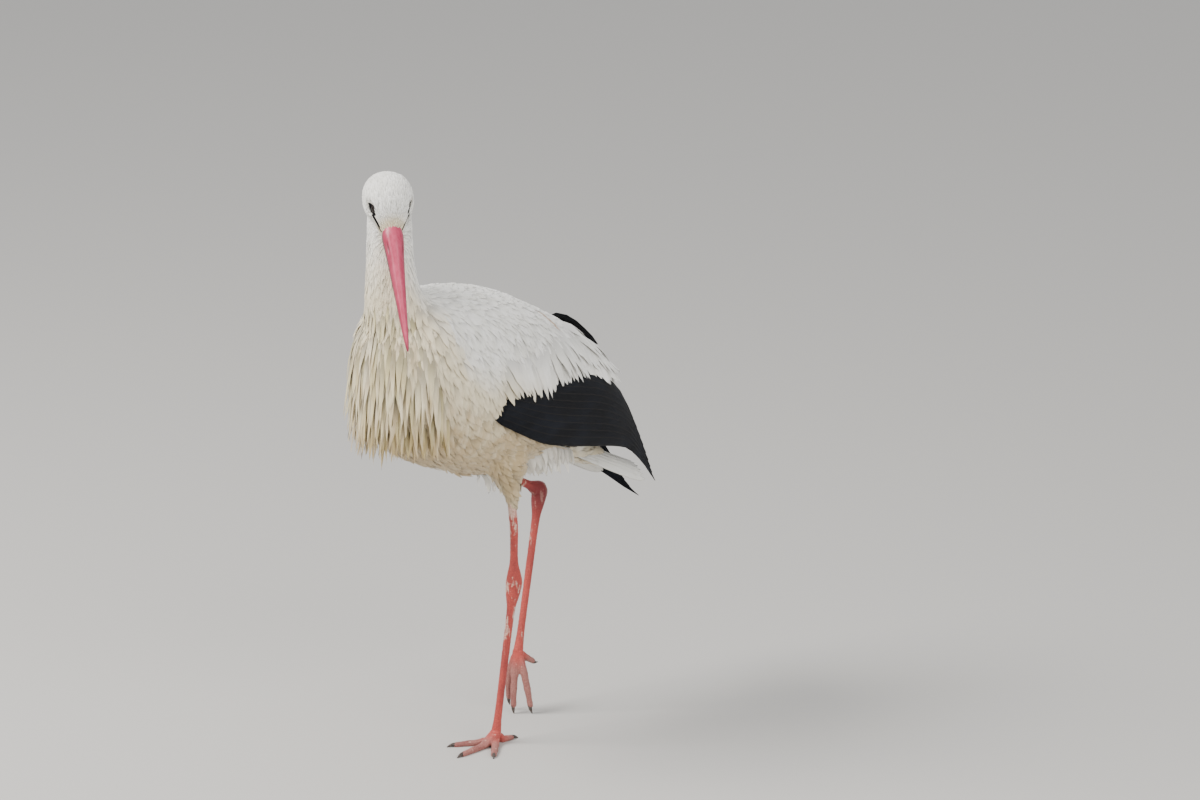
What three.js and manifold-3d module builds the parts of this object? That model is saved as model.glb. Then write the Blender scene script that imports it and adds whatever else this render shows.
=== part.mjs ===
// White stork (Ciconia ciconia), an adult walking: the left foot is planted, the right leg swings
// past it with its toes hanging to the ground, and the head is turned to the left, bill down.
// Millimetres, +Z up. The body faces -Y and its left side is +X. While it is built, the middle of
// the planted sole is near x = 18, y = 0, z = 0. The finished group has its origin under the middle
// of the bird, on the ground.

import * as THREE from "three";
import { mergeVertices } from "three/addons/utils/BufferGeometryUtils.js";
import Module from "manifold-3d";

// ---------------------------------------------------------------- driving dimensions

const GAP = 0.4; // clearance between neighbouring solids
const GROUND = 0; // level of the soles
const FAR = 1500; // larger than the bird, for cutting blocks

// Trunk under the plumage of the back: y, back z, belly z, half width of each upright section.
const TRUNK = [
  [-224, 588, 500, 20],
  [-208, 620, 464, 54],
  [-165, 648, 424, 88],
  [-90, 650, 393, 104],
  [-15, 636, 373, 107],
  [60, 606, 374, 96],
  [130, 564, 388, 72],
  [185, 505, 400, 42],
  [214, 455, 418, 10],
];

// Under side of the folded wing: y, upper z, lower edge z, half width at the lower edge.
const WING = [
  [-190, 602, 548, 62],
  [-150, 627, 506, 84],
  [-85, 631, 476, 98],
  [10, 609, 430, 97],
  [84, 578, 404, 88],
  [157, 544, 382, 76],
  [205, 507, 369, 66],
  [247, 468, 354, 54],
  [285, 410, 331, 44],
  [318, 355, 308, 33],
  [344, 308, 290, 22],
];
// The rear of a folded wing against the table above: how far it hangs down, swings in and reaches back.
const WING_SET = { left: { drop: 0, inward: 0, reach: 0 }, right: { drop: 20, inward: 14, reach: 6 } };
// Lower border of the white coverts, at the notches between their tips: y, z.
const COVERT_BORDER = [
  [-188, 556], [-150, 512], [-95, 484], [-60, 512], [10, 506], [84, 508], [157, 506], [202, 488],
];
const COVERT_TIPS = { front: -182, rear: 202, count: 12, length: 26 };
const COVERT_ROWS = 4;
const QUILLS = { front: -184, rear: 344, count: 18, upperStep: 0.12, lowerStep: 0.07 };
const QUILL_ROWS = 4;
// Cape of mantle and scapulars; its reach and the length of its tips are shares of the way round a wing.
const CAPE = { front: -182, rear: 132, reach: 0.6, tips: 7, length: 0.13 };
const CAPE_ROWS = 8;
const FLIGHT_LAYER = [0, 4]; // distance of the black quills above the under side of the wing
const COVERT_LAYER = [6.8, 10.2]; // the white coverts over them
const MANTLE_LAYER = [14.2, 17.4]; // the cape of scapulars over both wings
const BESIDE = 60; // how far a cutting layer reaches past the surface it follows
const LAYER_ROOM = 2.5; // what the body under a curved layer leaves free, for the flats between its edges

const HEAD_CENTRE = [-1, -191, 776];
const HEAD_TURN = 52; // degrees to the left of the body's heading
const BILL_PITCH = 57; // degrees below the horizon
// Head along the bill's line: distance ahead of the head's centre, rise, half width, crown, throat.
const HEAD = [
  [-38, 2, 7, 7, 7],
  [-33, 1, 20, 18, 18],
  [-19, 0, 30, 26, 27],
  [0, -1, 32.5, 29, 29],
  [15, -2, 30, 25.5, 27],
  [30, -4, 21.5, 18, 21],
  [42, -5, 15.5, 13, 16],
  [49, -5, 12, 10, 12],
];
const BILL_LENGTH = 161; // from the forehead feathers to the tip
const BILL_BASE = 47; // ahead of the head's centre
// Bill: share of its length, rise, half width, culmen height, gonys depth.
const BILL = [
  [-0.08, -3, 11, 10, 11],
  [0.02, -3, 14, 13, 14],
  [0.2, -3, 11.5, 11.5, 11.5],
  [0.5, -3.5, 7.8, 8.5, 8],
  [0.8, -3, 4.3, 4.8, 4.6],
  [0.96, -2.2, 2.2, 2.4, 2.2],
  [1, -2, 1, 1, 1],
];
const EYE_RADIUS = 8;
const EYE_PLACE = { ahead: 17, side: 21.5, rise: 8 };

// Neck, from inside the breast to inside the head: x, y, z, half width, back, throat.
const NECK = [
  [0, -112, 545, 78, 62, 62],
  [0, -154, 590, 64, 50, 56],
  [-1, -178, 632, 44, 40, 43],
  [-6, -181, 678, 36, 34, 35],
  [-14, -173, 720, 34, 31, 32],
  [-18, -168, 756, 32, 29, 30],
  [-18, -167, 782, 26, 23, 25],
];
const HEAD_CUT = { at: [-12, -174, 732], normal: [-0.25, 0.3, 1] };
const NECK_CUT = { at: [0, -178, 600], normal: [0, -0.68, 0.74] };

// Bib of long breast plumes, round an upright line: z, y of the line, half width, half depth.
const BIB = [
  [430, -138, 74, 80],
  [470, -138, 79, 86],
  [520, -140, 79, 86],
  [570, -150, 70, 75],
  [620, -170, 52, 54],
  [655, -182, 43, 41],
];
const BIB_LAYER = [0, 5.5];
// The bib's outline: degrees round each side of the breast, heights of its top and of its lowest tip,
// droop of the top at the sides, length of the free tips, notches above them and rise at the sides.
const BIB_SHAPE = { plumes: 10, turn: 76, top: 650, droop: 45, tip: 438, length: 40, notch: 36, rise: 58 };
const BIB_ROWS = 5;

// Tail: a closed fan. `root` is y and z, and `half` is half its width at the root and at the tips.
const TAIL = {
  root: [166, 386], length: 156, drop: 25, half: [24, 44], shift: 6, arch: 22, quills: 9, thickness: 4,
};
// Soft plumes under the tail and behind the thighs: y, z of the middle, half width, depth.
const VENT = [
  [84, 394, 52, 17],
  [140, 380, 49, 20],
  [200, 356, 36, 16],
  [262, 334, 22, 6],
];
const VENT_LAYER = [-9, 0];
// The plumes' outline: half angle round the vent, where they part, and how far their tips reach behind.
const VENT_SHAPE = { plumes: 5, around: 1.6, parting: 190, tip: 200, length: 62, shorter: 75 };

// Legs. The thigh and the shank are x, y, z, half width, front and back; the tarsus likewise.
const PLANTED = {
  knee: [50, -22, 436],
  cuff: [46, 8, 332],
  hock: [36, 21, 222],
  ankle: [18, 4, 15],
};
const SWINGING = {
  knee: [-52, -16, 402],
  cuff: [-51, 98, 346],
  hock: [-50, 184, 303],
  ankle: [-50, 137, 87],
};
// Toes of the planted foot: name, heading from straight ahead in degrees, reach.
const PLANTED_TOES = [["inner", -36, 58], ["middle", 2, 76], ["outer", 36, 63], ["hind", 172, 30]];
// Toes of the swinging foot hang to the ground, the hind toe behind them: name, tip of the toe.
const SWINGING_TOES = [
  ["inner", [-33, 142, 10]], ["middle", [-52, 129, 9.4]], ["outer", [-67, 138, 17]], ["hind", [-49, 168, 66]],
];
const THIGH_GIRTH = 29;
const SHANK_TO = 0.86; // share of the way from the cuff to the hock where the shank ends
const FOOT_FROM = 0.94; // share of the way from the hock to the ankle where the foot starts
const SHANK_RADIUS = 5.8;
const HOCK_RADIUS = 11.5;
const TARSUS_RADIUS = 5.2;
const TOE_RADIUS = 5.2;
const TOE_REST = [1.25, 0.65, 0.56, 0.45]; // heights of a planted toe's joints, in toe radii
const TOE_TAPER = [1.15, 1.02, 0.96, 0.84, 0.7]; // girth of a toe's joints, in toe radii
const CLAW_LENGTH = 10;
const CLAW_RADIUS = 2.9;
const CLAW_SHAPE = [[-0.4, 1], [0.2, 1], [0.6, 0.7], [1, 0.28]]; // share of the length, share of the girth

// ---------------------------------------------------------------- general shape tools

const wasm = await Module();
wasm.setup();

const vec = (values) => new THREE.Vector3(values[0], values[1], values[2]);
const degrees = (value) => THREE.MathUtils.degToRad(value);
const mix = THREE.MathUtils.lerp;

// Volume enclosed by an indexed mesh, negative when its faces point inwards.
function signedVolume(points, index) {
  let sum = 0;
  for (let i = 0; i < index.length; i += 3) {
    const [a, b, c] = [points[index[i]], points[index[i + 1]], points[index[i + 2]]];
    sum += a.dot(new THREE.Vector3().crossVectors(b, c)) / 6;
  }
  return sum;
}

// A solid from points and triangles, turned so that its faces point outwards.
function solidOf(points, index) {
  if (signedVolume(points, index) < 0) index.reverse();
  return new wasm.Manifold(
    new wasm.Mesh({
      numProp: 3,
      vertProperties: new Float32Array(points.flatMap((p) => [p.x, p.y, p.z])),
      triVerts: new Uint32Array(index),
    }),
  );
}

// A solid from one of three.js's closed geometries, put in place by a matrix.
function solidFrom(geometry, matrix) {
  geometry.deleteAttribute("normal");
  geometry.deleteAttribute("uv");
  const merged = mergeVertices(geometry.applyMatrix4(matrix), 1e-3);
  return new wasm.Manifold(
    new wasm.Mesh({
      numProp: 3,
      vertProperties: merged.attributes.position.array,
      triVerts: new Uint32Array(merged.index.array),
    }),
  );
}

// A closed skin through rings of points, with a fan over each end.
function skin(rings) {
  const sides = rings[0].length;
  const points = rings.flat();
  const index = [];
  for (let r = 0; r + 1 < rings.length; r++) {
    for (let k = 0; k < sides; k++) {
      const [a, b] = [r * sides + k, r * sides + ((k + 1) % sides)];
      index.push(a, b, b + sides, a, b + sides, a + sides);
    }
  }
  for (const [ring, flip] of [[0, true], [rings.length - 1, false]]) {
    const centre = new THREE.Vector3();
    rings[ring].forEach((p) => centre.addScaledVector(p, 1 / sides));
    points.push(centre);
    for (let k = 0; k < sides; k++) {
      const [a, b] = [ring * sides + k, ring * sides + ((k + 1) % sides)];
      index.push(points.length - 1, ...(flip ? [b, a] : [a, b]));
    }
  }
  return solidOf(points, index);
}

// Smooth values between rows of numbers, looked up by the rows' first column.
function smoothRows(rows) {
  const slope = (i, c) => {
    const [p, n] = [rows[Math.max(i - 1, 0)], rows[Math.min(i + 1, rows.length - 1)]];
    return (n[c] - p[c]) / (n[0] - p[0]);
  };
  return (key) => {
    let i = 0;
    while (i < rows.length - 2 && key > rows[i + 1][0]) i++;
    const width = rows[i + 1][0] - rows[i][0];
    const t = THREE.MathUtils.clamp((key - rows[i][0]) / width, 0, 1);
    const [t2, t3] = [t * t, t * t * t];
    return rows[i].slice(1).map((value, k) => {
      const c = k + 1;
      return value * (2 * t3 - 3 * t2 + 1) + rows[i + 1][c] * (3 * t2 - 2 * t3)
        + slope(i, c) * width * (t3 - 2 * t2 + t) + slope(i + 1, c) * width * (t3 - t2);
    });
  };
}

// A round-sectioned body along a line of stations: x, y, z, half width, rise and fall.
// `across` is the direction of its width, and `grow` thickens it all round.
function limb(stations, across, { sides = 12, steps = 12, grow = 0 } = {}) {
  const line = new THREE.CatmullRomCurve3(stations.map(vec), false, "centripetal");
  const girth = new THREE.CatmullRomCurve3(stations.map((s) => vec(s.slice(3))), false, "centripetal");
  const rings = [];
  for (let i = 0; i <= steps; i++) {
    const t = i / steps;
    const centre = line.getPoint(t);
    const along = line.getTangent(t);
    const wide = across.clone().addScaledVector(along, -across.dot(along)).normalize();
    const tall = new THREE.Vector3().crossVectors(along, wide);
    const size = girth.getPoint(t);
    const overhang = (i === steps ? 1 : i === 0 ? -1 : 0) * grow;
    rings.push(Array.from({ length: sides }, (_, k) => {
      const angle = (2 * Math.PI * k) / sides;
      const height = Math.sin(angle) > 0 ? size.y : size.z;
      return centre.clone().addScaledVector(along, overhang)
        .addScaledVector(wide, (size.x + grow) * Math.cos(angle))
        .addScaledVector(tall, (height + grow) * Math.sin(angle));
    }));
  }
  return skin(rings);
}

// A curved sheet of even thickness over surface(u, v). Each column has its own u and its own first
// and last v, so that an edge can end in points.
function sheet(surface, columns, rows, [inner, outer]) {
  const step = 1e-3;
  const offset = (u, v, distance) => {
    const here = surface(u, v);
    const du = surface(u + step, v).sub(surface(u - step, v));
    const dv = surface(u, v + step).sub(surface(u, v - step));
    return here.addScaledVector(du.cross(dv).normalize(), distance);
  };
  const points = [];
  for (const distance of [inner, outer]) {
    for (const { u, from, to, tip } of columns) {
      for (let j = 0; j <= rows; j++) {
        const v = j === rows ? tip : mix(from, to, j / (rows - 1));
        points.push(offset(u, v, distance));
      }
    }
  }
  const high = rows + 1;
  const layer = columns.length * high;
  const at = (top, i, j) => top * layer + i * high + j;
  const index = [];
  const quad = (a, b, c, d) => index.push(a, b, c, a, c, d);
  for (let i = 0; i + 1 < columns.length; i++) {
    for (let j = 0; j < rows; j++) {
      quad(at(1, i, j), at(1, i + 1, j), at(1, i + 1, j + 1), at(1, i, j + 1));
      quad(at(0, i, j + 1), at(0, i + 1, j + 1), at(0, i + 1, j), at(0, i, j));
    }
    quad(at(0, i, 0), at(0, i + 1, 0), at(1, i + 1, 0), at(1, i, 0));
    quad(at(1, i, rows), at(1, i + 1, rows), at(0, i + 1, rows), at(0, i, rows));
  }
  const last = columns.length - 1;
  for (let j = 0; j < rows; j++) {
    quad(at(1, 0, j), at(1, 0, j + 1), at(0, 0, j + 1), at(0, 0, j));
    quad(at(0, last, j), at(0, last, j + 1), at(1, last, j + 1), at(1, last, j));
  }
  return solidOf(points, index);
}

// Even steps from one end to the other, with only the two ends pushed out by a rim.
function spaced(from, to, steps, rim) {
  return Array.from({ length: steps + 1 }, (_, i) => (
    mix(from, to, i / steps) + (i === steps ? rim : i === 0 ? -rim : 0)
  ));
}

// Everything on one side of a plane, as a large block.
function halfSpace(at, normal, shift = 0) {
  const turn = new THREE.Quaternion().setFromUnitVectors(new THREE.Vector3(0, 0, 1), normal);
  const centre = at.clone().addScaledVector(normal, FAR / 2 + shift);
  const matrix = new THREE.Matrix4().compose(centre, turn, new THREE.Vector3(1, 1, 1));
  return solidFrom(new THREE.BoxGeometry(FAR, FAR, FAR), matrix);
}

// The two sides of a solid that a thin cut parts: [ahead of the plane, behind it].
function parted(solid, { at, normal }) {
  const [point, direction] = [vec(at), vec(normal).normalize()];
  return [
    solid.intersect(halfSpace(point, direction, GAP / 2)),
    solid.intersect(halfSpace(point, direction.clone().negate(), GAP / 2)),
  ];
}

// The largest of the loose bodies that a cut has left.
function mainBody(solid) {
  return solid.decompose().reduce((a, b) => (b.volume() > a.volume() ? b : a));
}

// ---------------------------------------------------------------- the bird

const stork = new THREE.Group();
const standing = new THREE.Group();
stork.add(standing);
const finish = (color, roughness) => ({ color, roughness, metalness: 0 });
const FINISHES = {
  whitePlumage: finish(0xf1eee6, 0.9),
  creamPlumage: finish(0xd9cdb4, 0.92),
  blackPlumage: finish(0x16171b, 0.6),
  redHorn: finish(0xc8485c, 0.42),
  redSkin: finish(0xc4504a, 0.55),
  claw: finish(0x4a3430, 0.45),
  eye: finish(0x120d0b, 0.08),
};

// Adds one solid to the bird as a named mesh with a material of its own.
function addNode(name, solid, look) {
  const { vertProperties, triVerts } = mainBody(solid).getMesh();
  const geometry = new THREE.BufferGeometry();
  geometry.setAttribute("position", new THREE.BufferAttribute(vertProperties, 3));
  geometry.setIndex(new THREE.BufferAttribute(triVerts, 1));
  geometry.computeVertexNormals();
  const mesh = new THREE.Mesh(geometry, new THREE.MeshStandardMaterial(FINISHES[look]));
  mesh.name = name;
  standing.add(mesh);
}

const sideSign = { left: 1, right: -1 };
const crosswise = new THREE.Vector3(1, 0, 0);
const upwards = new THREE.Vector3(0, 0, 1);

// ---- head frame: the bill's line, the bird's left, and the crown's direction

const [turn, pitch] = [degrees(HEAD_TURN), degrees(BILL_PITCH)];
const headLeft = new THREE.Vector3(Math.cos(turn), Math.sin(turn), 0);
const billLine = new THREE.Vector3(
  Math.sin(turn) * Math.cos(pitch), -Math.cos(turn) * Math.cos(pitch), -Math.sin(pitch),
);
const crown = new THREE.Vector3().crossVectors(billLine, headLeft);
const inHead = (ahead, left, rise) => vec(HEAD_CENTRE)
  .addScaledVector(billLine, ahead).addScaledVector(headLeft, left).addScaledVector(crown, rise);

// Stations along the bill's line; the width runs to the bird's left, so "rise" is the crown's side.
const headStations = (rows) => rows.map(([ahead, rise, ...size]) => [
  ...inHead(ahead, 0, rise).toArray(), ...size,
]);
const billRows = BILL.map(([share, ...rest]) => [BILL_BASE + share * BILL_LENGTH, ...rest]);

const headBody = (grow) => limb(headStations(HEAD), headLeft, { sides: 14, steps: 10, grow });
const billBody = limb(headStations(billRows), headLeft, { sides: 10, steps: 8 });
const neckBody = (grow) => limb(NECK, crosswise, { sides: 16, steps: 9, grow });

// ---- trunk, by upright sections

const trunkAt = smoothRows(TRUNK);
function trunkBody(grow) {
  const [first, last, count, sides] = [TRUNK[0][0], TRUNK.at(-1)[0], 13, 18];
  const rings = Array.from({ length: count + 1 }, (_, i) => {
    const eased = 0.5 - 0.5 * Math.cos((Math.PI * i) / count);
    const y = mix(first, last, mix(i / count, eased, 0.6));
    const [back, belly, half] = trunkAt(y);
    const [middle, tall] = [(back + belly) / 2, (back - belly) / 2];
    return Array.from({ length: sides }, (_, k) => {
      const angle = (2 * Math.PI * k) / sides;
      return new THREE.Vector3((half + grow) * Math.cos(angle), y, middle + (tall + grow) * Math.sin(angle));
    });
  });
  return skin(rings);
}

// ---- folded wings: one curved surface that carries the quills, the coverts and the cape

const wingAt = smoothRows(WING);
// Across the wing, 0 is the middle of the back and 1 is the wing's lower edge.
function wingPoint(side, y, across) {
  const [upper, lower, half] = wingAt(y);
  const angle = (across * Math.PI) / 2;
  const { drop, inward, reach } = WING_SET[side];
  const rear = THREE.MathUtils.smoothstep(y, 60, 300);
  const out = half * Math.sin(angle) - inward * rear * across;
  return new THREE.Vector3(
    sideSign[side] * out, y + reach * rear, lower + (upper - lower) * Math.cos(angle) - drop * rear,
  );
}
const wingSurface = (side) => (u, v) => wingPoint(side, u * 100, v);
const acrossAt = (y, z) => {
  const [upper, lower] = wingAt(y);
  return (Math.acos(THREE.MathUtils.clamp((z - lower) / (upper - lower), 0, 1)) * 2) / Math.PI;
};
// The surface's own normal points inwards on the left, so its layers are laid the other way round.
const inverted = ([inner, outer]) => [-outer, -inner];
const layered = (side, layer) => (side === "left" ? inverted(layer) : layer);

// A layer with its clearance on both faces.
const clearOf = ([inner, outer]) => [inner - GAP, outer + GAP];

// A wave from 0 at a notch to 1 at a feather's tip, with tips a little uneven.
function pointed(place, uneven = 0.25) {
  const [whole, part] = [Math.floor(place), place - Math.floor(place)];
  const reach = 1 - uneven * (0.5 + 0.5 * Math.sin(whole * 2.7 + 1));
  return reach * (1 - Math.abs(2 * part - 1)) ** 0.8;
}

const borderAt = smoothRows(COVERT_BORDER);
// The columns of a wing's coverts; `spare` widens their outline by a thin rim.
function covertColumns(spare = 0) {
  const { front, rear, count, length } = COVERT_TIPS;
  return spaced(front, rear, 2 * count, spare).map((y, i) => {
    const [, lower] = wingAt(y);
    const notch = Math.max(borderAt(y)[0], lower + 4);
    const reach = length * pointed(i / 2) * THREE.MathUtils.smoothstep(y, -115, -50);
    const inward = 0.05 + 0.25 * THREE.MathUtils.smoothstep(y, 110, 220);
    const edge = acrossAt(y, Math.max(notch - reach, lower)) + spare / 100;
    return { u: y / 100, from: inward - spare / 100, to: acrossAt(y, notch + 4), tip: edge };
  });
}

// The dark quills lie under the coverts and reach past them; their ends step down the wing's rear edge.
function flightColumns(spare = 0) {
  const { front, rear, count, upperStep, lowerStep } = QUILLS;
  return spaced(front, rear, count, spare).map((y, i) => {
    const tips = THREE.MathUtils.smoothstep(y, 190, 250);
    const covered = 0.04 * (1 - THREE.MathUtils.smoothstep(y, -120, -70));
    const low = 1 - covered + lowerStep * pointed(i / 2) * tips + spare / 100;
    const high = 0.05 + upperStep * pointed(i / 2.5) * tips - spare / 100;
    return { u: y / 100, from: high, to: low - 0.1, tip: low };
  });
}

// Cape of mantle and scapular feathers across the back; v runs from the right side to the left.
function capeSurface(u, v) {
  const side = v < 0 ? "right" : "left";
  return wingPoint(side, u * 100, Math.abs(v));
}
function capeColumns(spare = 0) {
  const { front, rear, reach, tips, length } = CAPE;
  return spaced(front, rear, 2 * tips, spare).map((y, i) => {
    const spread = reach * (1 - 0.55 * THREE.MathUtils.smoothstep(y, -60, rear + 10));
    const edge = spread + length * pointed(i / 2) + spare / 100;
    return { u: y / 100, from: -edge, to: spread, tip: edge };
  });
}

const wings = {};
for (const side of ["left", "right"]) {
  const surface = wingSurface(side);
  wings[side] = {
    coverts: sheet(surface, covertColumns(), COVERT_ROWS, layered(side, COVERT_LAYER)),
    flight: sheet(surface, flightColumns(), QUILL_ROWS, layered(side, FLIGHT_LAYER)),
    room: sheet(surface, flightColumns(1), QUILL_ROWS, layered(side, [FLIGHT_LAYER[0] - GAP, BESIDE])),
  };
}
const cape = sheet(capeSurface, capeColumns(), CAPE_ROWS, inverted(MANTLE_LAYER));
const capeClear = sheet(capeSurface, capeColumns(1), CAPE_ROWS, inverted(clearOf(MANTLE_LAYER)));
// Room under the cape along the middle of the back, where no wing lies.
const capeRoom = sheet(capeSurface, [-190, -80, 30, 140].map((y) => (
  { u: y / 100, from: -0.2, to: 0.1, tip: 0.2 }
)), 4, inverted([MANTLE_LAYER[0] - LAYER_ROOM, BESIDE]));

// ---- bib of breast plumes

const bibAt = smoothRows(BIB);
function bibPoint(u, v) {
  const z = v * 100;
  const [y, half, deep] = bibAt(z);
  return new THREE.Vector3(half * Math.sin(u), y - deep * Math.cos(u), z);
}
// The columns of the bib; `spare` widens its outline by a rim of about a millimetre.
function bibColumns(spare = 0) {
  const { plumes, turn: reach, top, droop, tip, length, notch, rise } = BIB_SHAPE;
  return spaced(-1, 1, 2 * plumes, spare / reach).map((round, i) => {
    const low = tip + notch + rise * Math.abs(round) ** 3 - spare;
    return {
      u: degrees(reach) * round,
      from: (top - droop * round ** 2 + spare) / 100,
      to: (low + 8) / 100,
      tip: (low - length * pointed(i / 2, 0.4)) / 100,
    };
  });
}
const bib = sheet(bibPoint, bibColumns(), BIB_ROWS, BIB_LAYER);
// Room for the bib in the breast, in a few coarse columns down to below its tips.
const bibRoom = sheet(bibPoint, [-1, -0.6, -0.2, 0.2, 0.6, 1].map((round) => ({
  u: degrees(BIB_SHAPE.turn + 1) * round,
  from: (BIB_SHAPE.top + 5 - BIB_SHAPE.droop * round ** 2) / 100,
  to: 4.6,
  tip: 4,
})), BIB_ROWS, [BIB_LAYER[0] - LAYER_ROOM, BESIDE]);
const bibClear = sheet(bibPoint, bibColumns(1), BIB_ROWS, clearOf(BIB_LAYER));
const behindBib = sheet(bibPoint, bibColumns(1), BIB_ROWS, [-BESIDE, BIB_LAYER[1] + GAP]);

// ---- tail: a closed fan of quills, and the soft plumes under it

function tailPoint(u, v) {
  const { root, length, drop, half, shift, arch } = TAIL;
  const reach = length * v * (1 - 0.05 * u ** 2);
  return new THREE.Vector3(
    shift * v + u * mix(half[0], half[1], v), root[0] + reach * Math.cos(degrees(drop)),
    root[1] - reach * Math.sin(degrees(drop)) - arch * u ** 2,
  );
}
// The tail, or the room that it takes when it is grown by a clearance.
function tail(grow) {
  const { quills, thickness, half } = TAIL;
  const columns = spaced(-1, 1, 2 * quills, grow / half[0]).map((u, i) => (
    { u, from: 0, to: 0.9, tip: 0.93 + 0.07 * pointed(i / 2, 0.1) }
  ));
  return sheet(tailPoint, columns, 3, [-thickness / 2 - grow, thickness / 2 + grow]);
}

const ventAt = smoothRows(VENT);
function ventPoint(u, v) {
  const y = v * 100;
  const [z, half, deep] = ventAt(y);
  return new THREE.Vector3(half * Math.sin(u), y, z - deep * Math.cos(u));
}
function ventColumns() {
  const { plumes, around, parting, tip, length, shorter } = VENT_SHAPE;
  return spaced(-1, 1, 2 * plumes, 0).map((round, i) => {
    const reach = (length - shorter * round ** 2) * pointed(i / 2, 0.5);
    return {
      u: round * around,
      from: VENT[0][0] / 100,
      to: (parting - 50 * round ** 2) / 100,
      tip: (tip + reach) / 100,
    };
  });
}
const vent = sheet(ventPoint, ventColumns(), 4, VENT_LAYER);

// ---- legs

// Feathered thigh: from inside the flank to the cuff, where the plumage ends in a point.
function thighBody({ knee, cuff }, grow) {
  const [top, bottom] = [vec(knee), vec(cuff)];
  const at = (share, size) => [...top.clone().lerp(bottom, share).toArray(), size, size, size];
  const shares = [[0, 0.6], [0.3, 1], [0.6, 0.66], [0.82, 0.38], [1, 0.26]];
  const stations = shares.map(([share, size]) => at(share, size * THIGH_GIRTH));
  return limb(stations, crosswise, { sides: 12, steps: 8, grow });
}

// Bare leg in one piece: shank, hock and tarsus, to be cut at the hock.
function bareLeg({ knee, cuff, hock, ankle }, grow) {
  const [k, c, h, a] = [knee, cuff, hock, ankle].map(vec);
  const place = (from, to, share, size) => {
    const p = from.clone().lerp(to, share);
    return [...p.toArray(), size * 0.92, size, size];
  };
  const inside = k.clone().lerp(c, 0.55);
  const stations = [
    place(inside, c, 0, SHANK_RADIUS), place(c, h, 0.25, SHANK_RADIUS), place(c, h, 0.72, SHANK_RADIUS),
    place(c, h, 0.9, HOCK_RADIUS * 0.86), place(c, h, 1, HOCK_RADIUS), place(h, a, 0.07, HOCK_RADIUS * 0.86),
    place(h, a, 0.17, TARSUS_RADIUS * 1.15), place(h, a, 0.5, TARSUS_RADIUS),
    place(h, a, 0.88, TARSUS_RADIUS), place(h, a, 1, TARSUS_RADIUS * 1.35),
  ];
  return limb(stations, crosswise, { sides: 8, steps: 17, grow });
}

// The plane square to a line from a to b, at a share of it.
const squareCut = (a, b, share) => ({
  at: vec(a).lerp(vec(b), share).toArray(),
  normal: vec(b).sub(vec(a)).normalize().toArray(),
});

// One toe through its joints, with a claw ahead of it: [toe, claw].
function toeAndClaw(points, across) {
  const stations = points.map((p, i) => {
    const size = TOE_RADIUS * TOE_TAPER[i];
    return [...p, size, size * 0.9, size];
  });
  const [before, end] = [vec(points.at(-2)), vec(points.at(-1))];
  const ahead = end.clone().sub(before).normalize();
  const clawStations = CLAW_SHAPE.map(([share, girth]) => {
    const centre = end.clone().addScaledVector(ahead, share * CLAW_LENGTH);
    return [...centre.toArray(), girth * CLAW_RADIUS, girth * CLAW_RADIUS, girth * CLAW_RADIUS];
  });
  const toe = (grow) => limb(stations, across, { sides: 6, steps: 5, grow });
  return [toe(0), limb(clawStations, across, { sides: 6, steps: 3 }).subtract(toe(GAP))];
}

const ground = halfSpace(new THREE.Vector3(0, 0, GROUND), upwards);

function plantedToe(heading, reach) {
  const [x, y, z] = PLANTED.ankle;
  const angle = degrees(heading);
  const at = (distance, height) => [x + distance * Math.sin(angle), y - distance * Math.cos(angle), height];
  const across = new THREE.Vector3(Math.cos(angle), Math.sin(angle), 0);
  const joints = [10, reach * 0.4, reach * 0.75, reach];
  return [[at(0, z - 2), ...joints.map((distance, i) => at(distance, TOE_REST[i] * TOE_RADIUS))], across];
}

function swingingToe(tip) {
  const [start, end] = [vec(SWINGING.ankle), vec(tip)];
  const bulge = new THREE.Vector3((end.x - start.x) * 0.25, -3, 0);
  const at = (share, bend) => start.clone().lerp(end, share).addScaledVector(bulge, bend).toArray();
  return [[at(0, 0), at(0.2, 0.8), at(0.45, 1), at(0.75, 0.7), at(1, 0)], crosswise];
}

// Adds the shank, tarsus and foot of one leg, and returns its thigh with the room that the leg takes.
function addLeg(side, leg, toes, toeLine) {
  const whole = bareLeg(leg, 0).subtract(thighBody(leg, GAP));
  const ankleCut = squareCut(leg.hock, leg.ankle, FOOT_FROM);
  const [below, shank] = parted(whole, squareCut(leg.cuff, leg.hock, SHANK_TO));
  const [footStub, tarsus] = parted(below, ankleCut);
  let foot = footStub;
  for (const [name, place, reach] of toes) {
    const [points, across] = toeLine(place, reach);
    const [toe, claw] = toeAndClaw(points, across);
    foot = foot.add(toe);
    addNode(`claw_${side}_${name}`, claw.intersect(ground), "claw");
  }
  const knuckle = toeLine(toes[1][1], toes[1][2])[0][2];
  const [ball, pad] = [TOE_RADIUS * 1.6, TOE_RADIUS * 1.2];
  const webStations = [[...leg.ankle, ball, pad, pad], [...knuckle, pad, pad / 2, pad / 2]];
  const web = limb(webStations, crosswise, { sides: 6, steps: 2 });
  const [belowAnkle] = parted(foot.add(web), ankleCut);
  addNode(`foot_${side}`, belowAnkle.intersect(ground), "redSkin");
  addNode(`tarsus_${side}`, tarsus, "redSkin");
  addNode(`shank_${side}`, shank, "redSkin");
  return { own: thighBody(leg, 0), room: thighBody(leg, GAP).add(bareLeg(leg, GAP)) };
}

// ---- parting the body and putting the nodes together

const eyeAt = (side) => inHead(EYE_PLACE.ahead, sideSign[side] * EYE_PLACE.side, EYE_PLACE.rise);
const eyeball = (side, grow) => solidFrom(
  new THREE.SphereGeometry(EYE_RADIUS + grow, 10, 6),
  new THREE.Matrix4().setPosition(eyeAt(side)),
);

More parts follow.
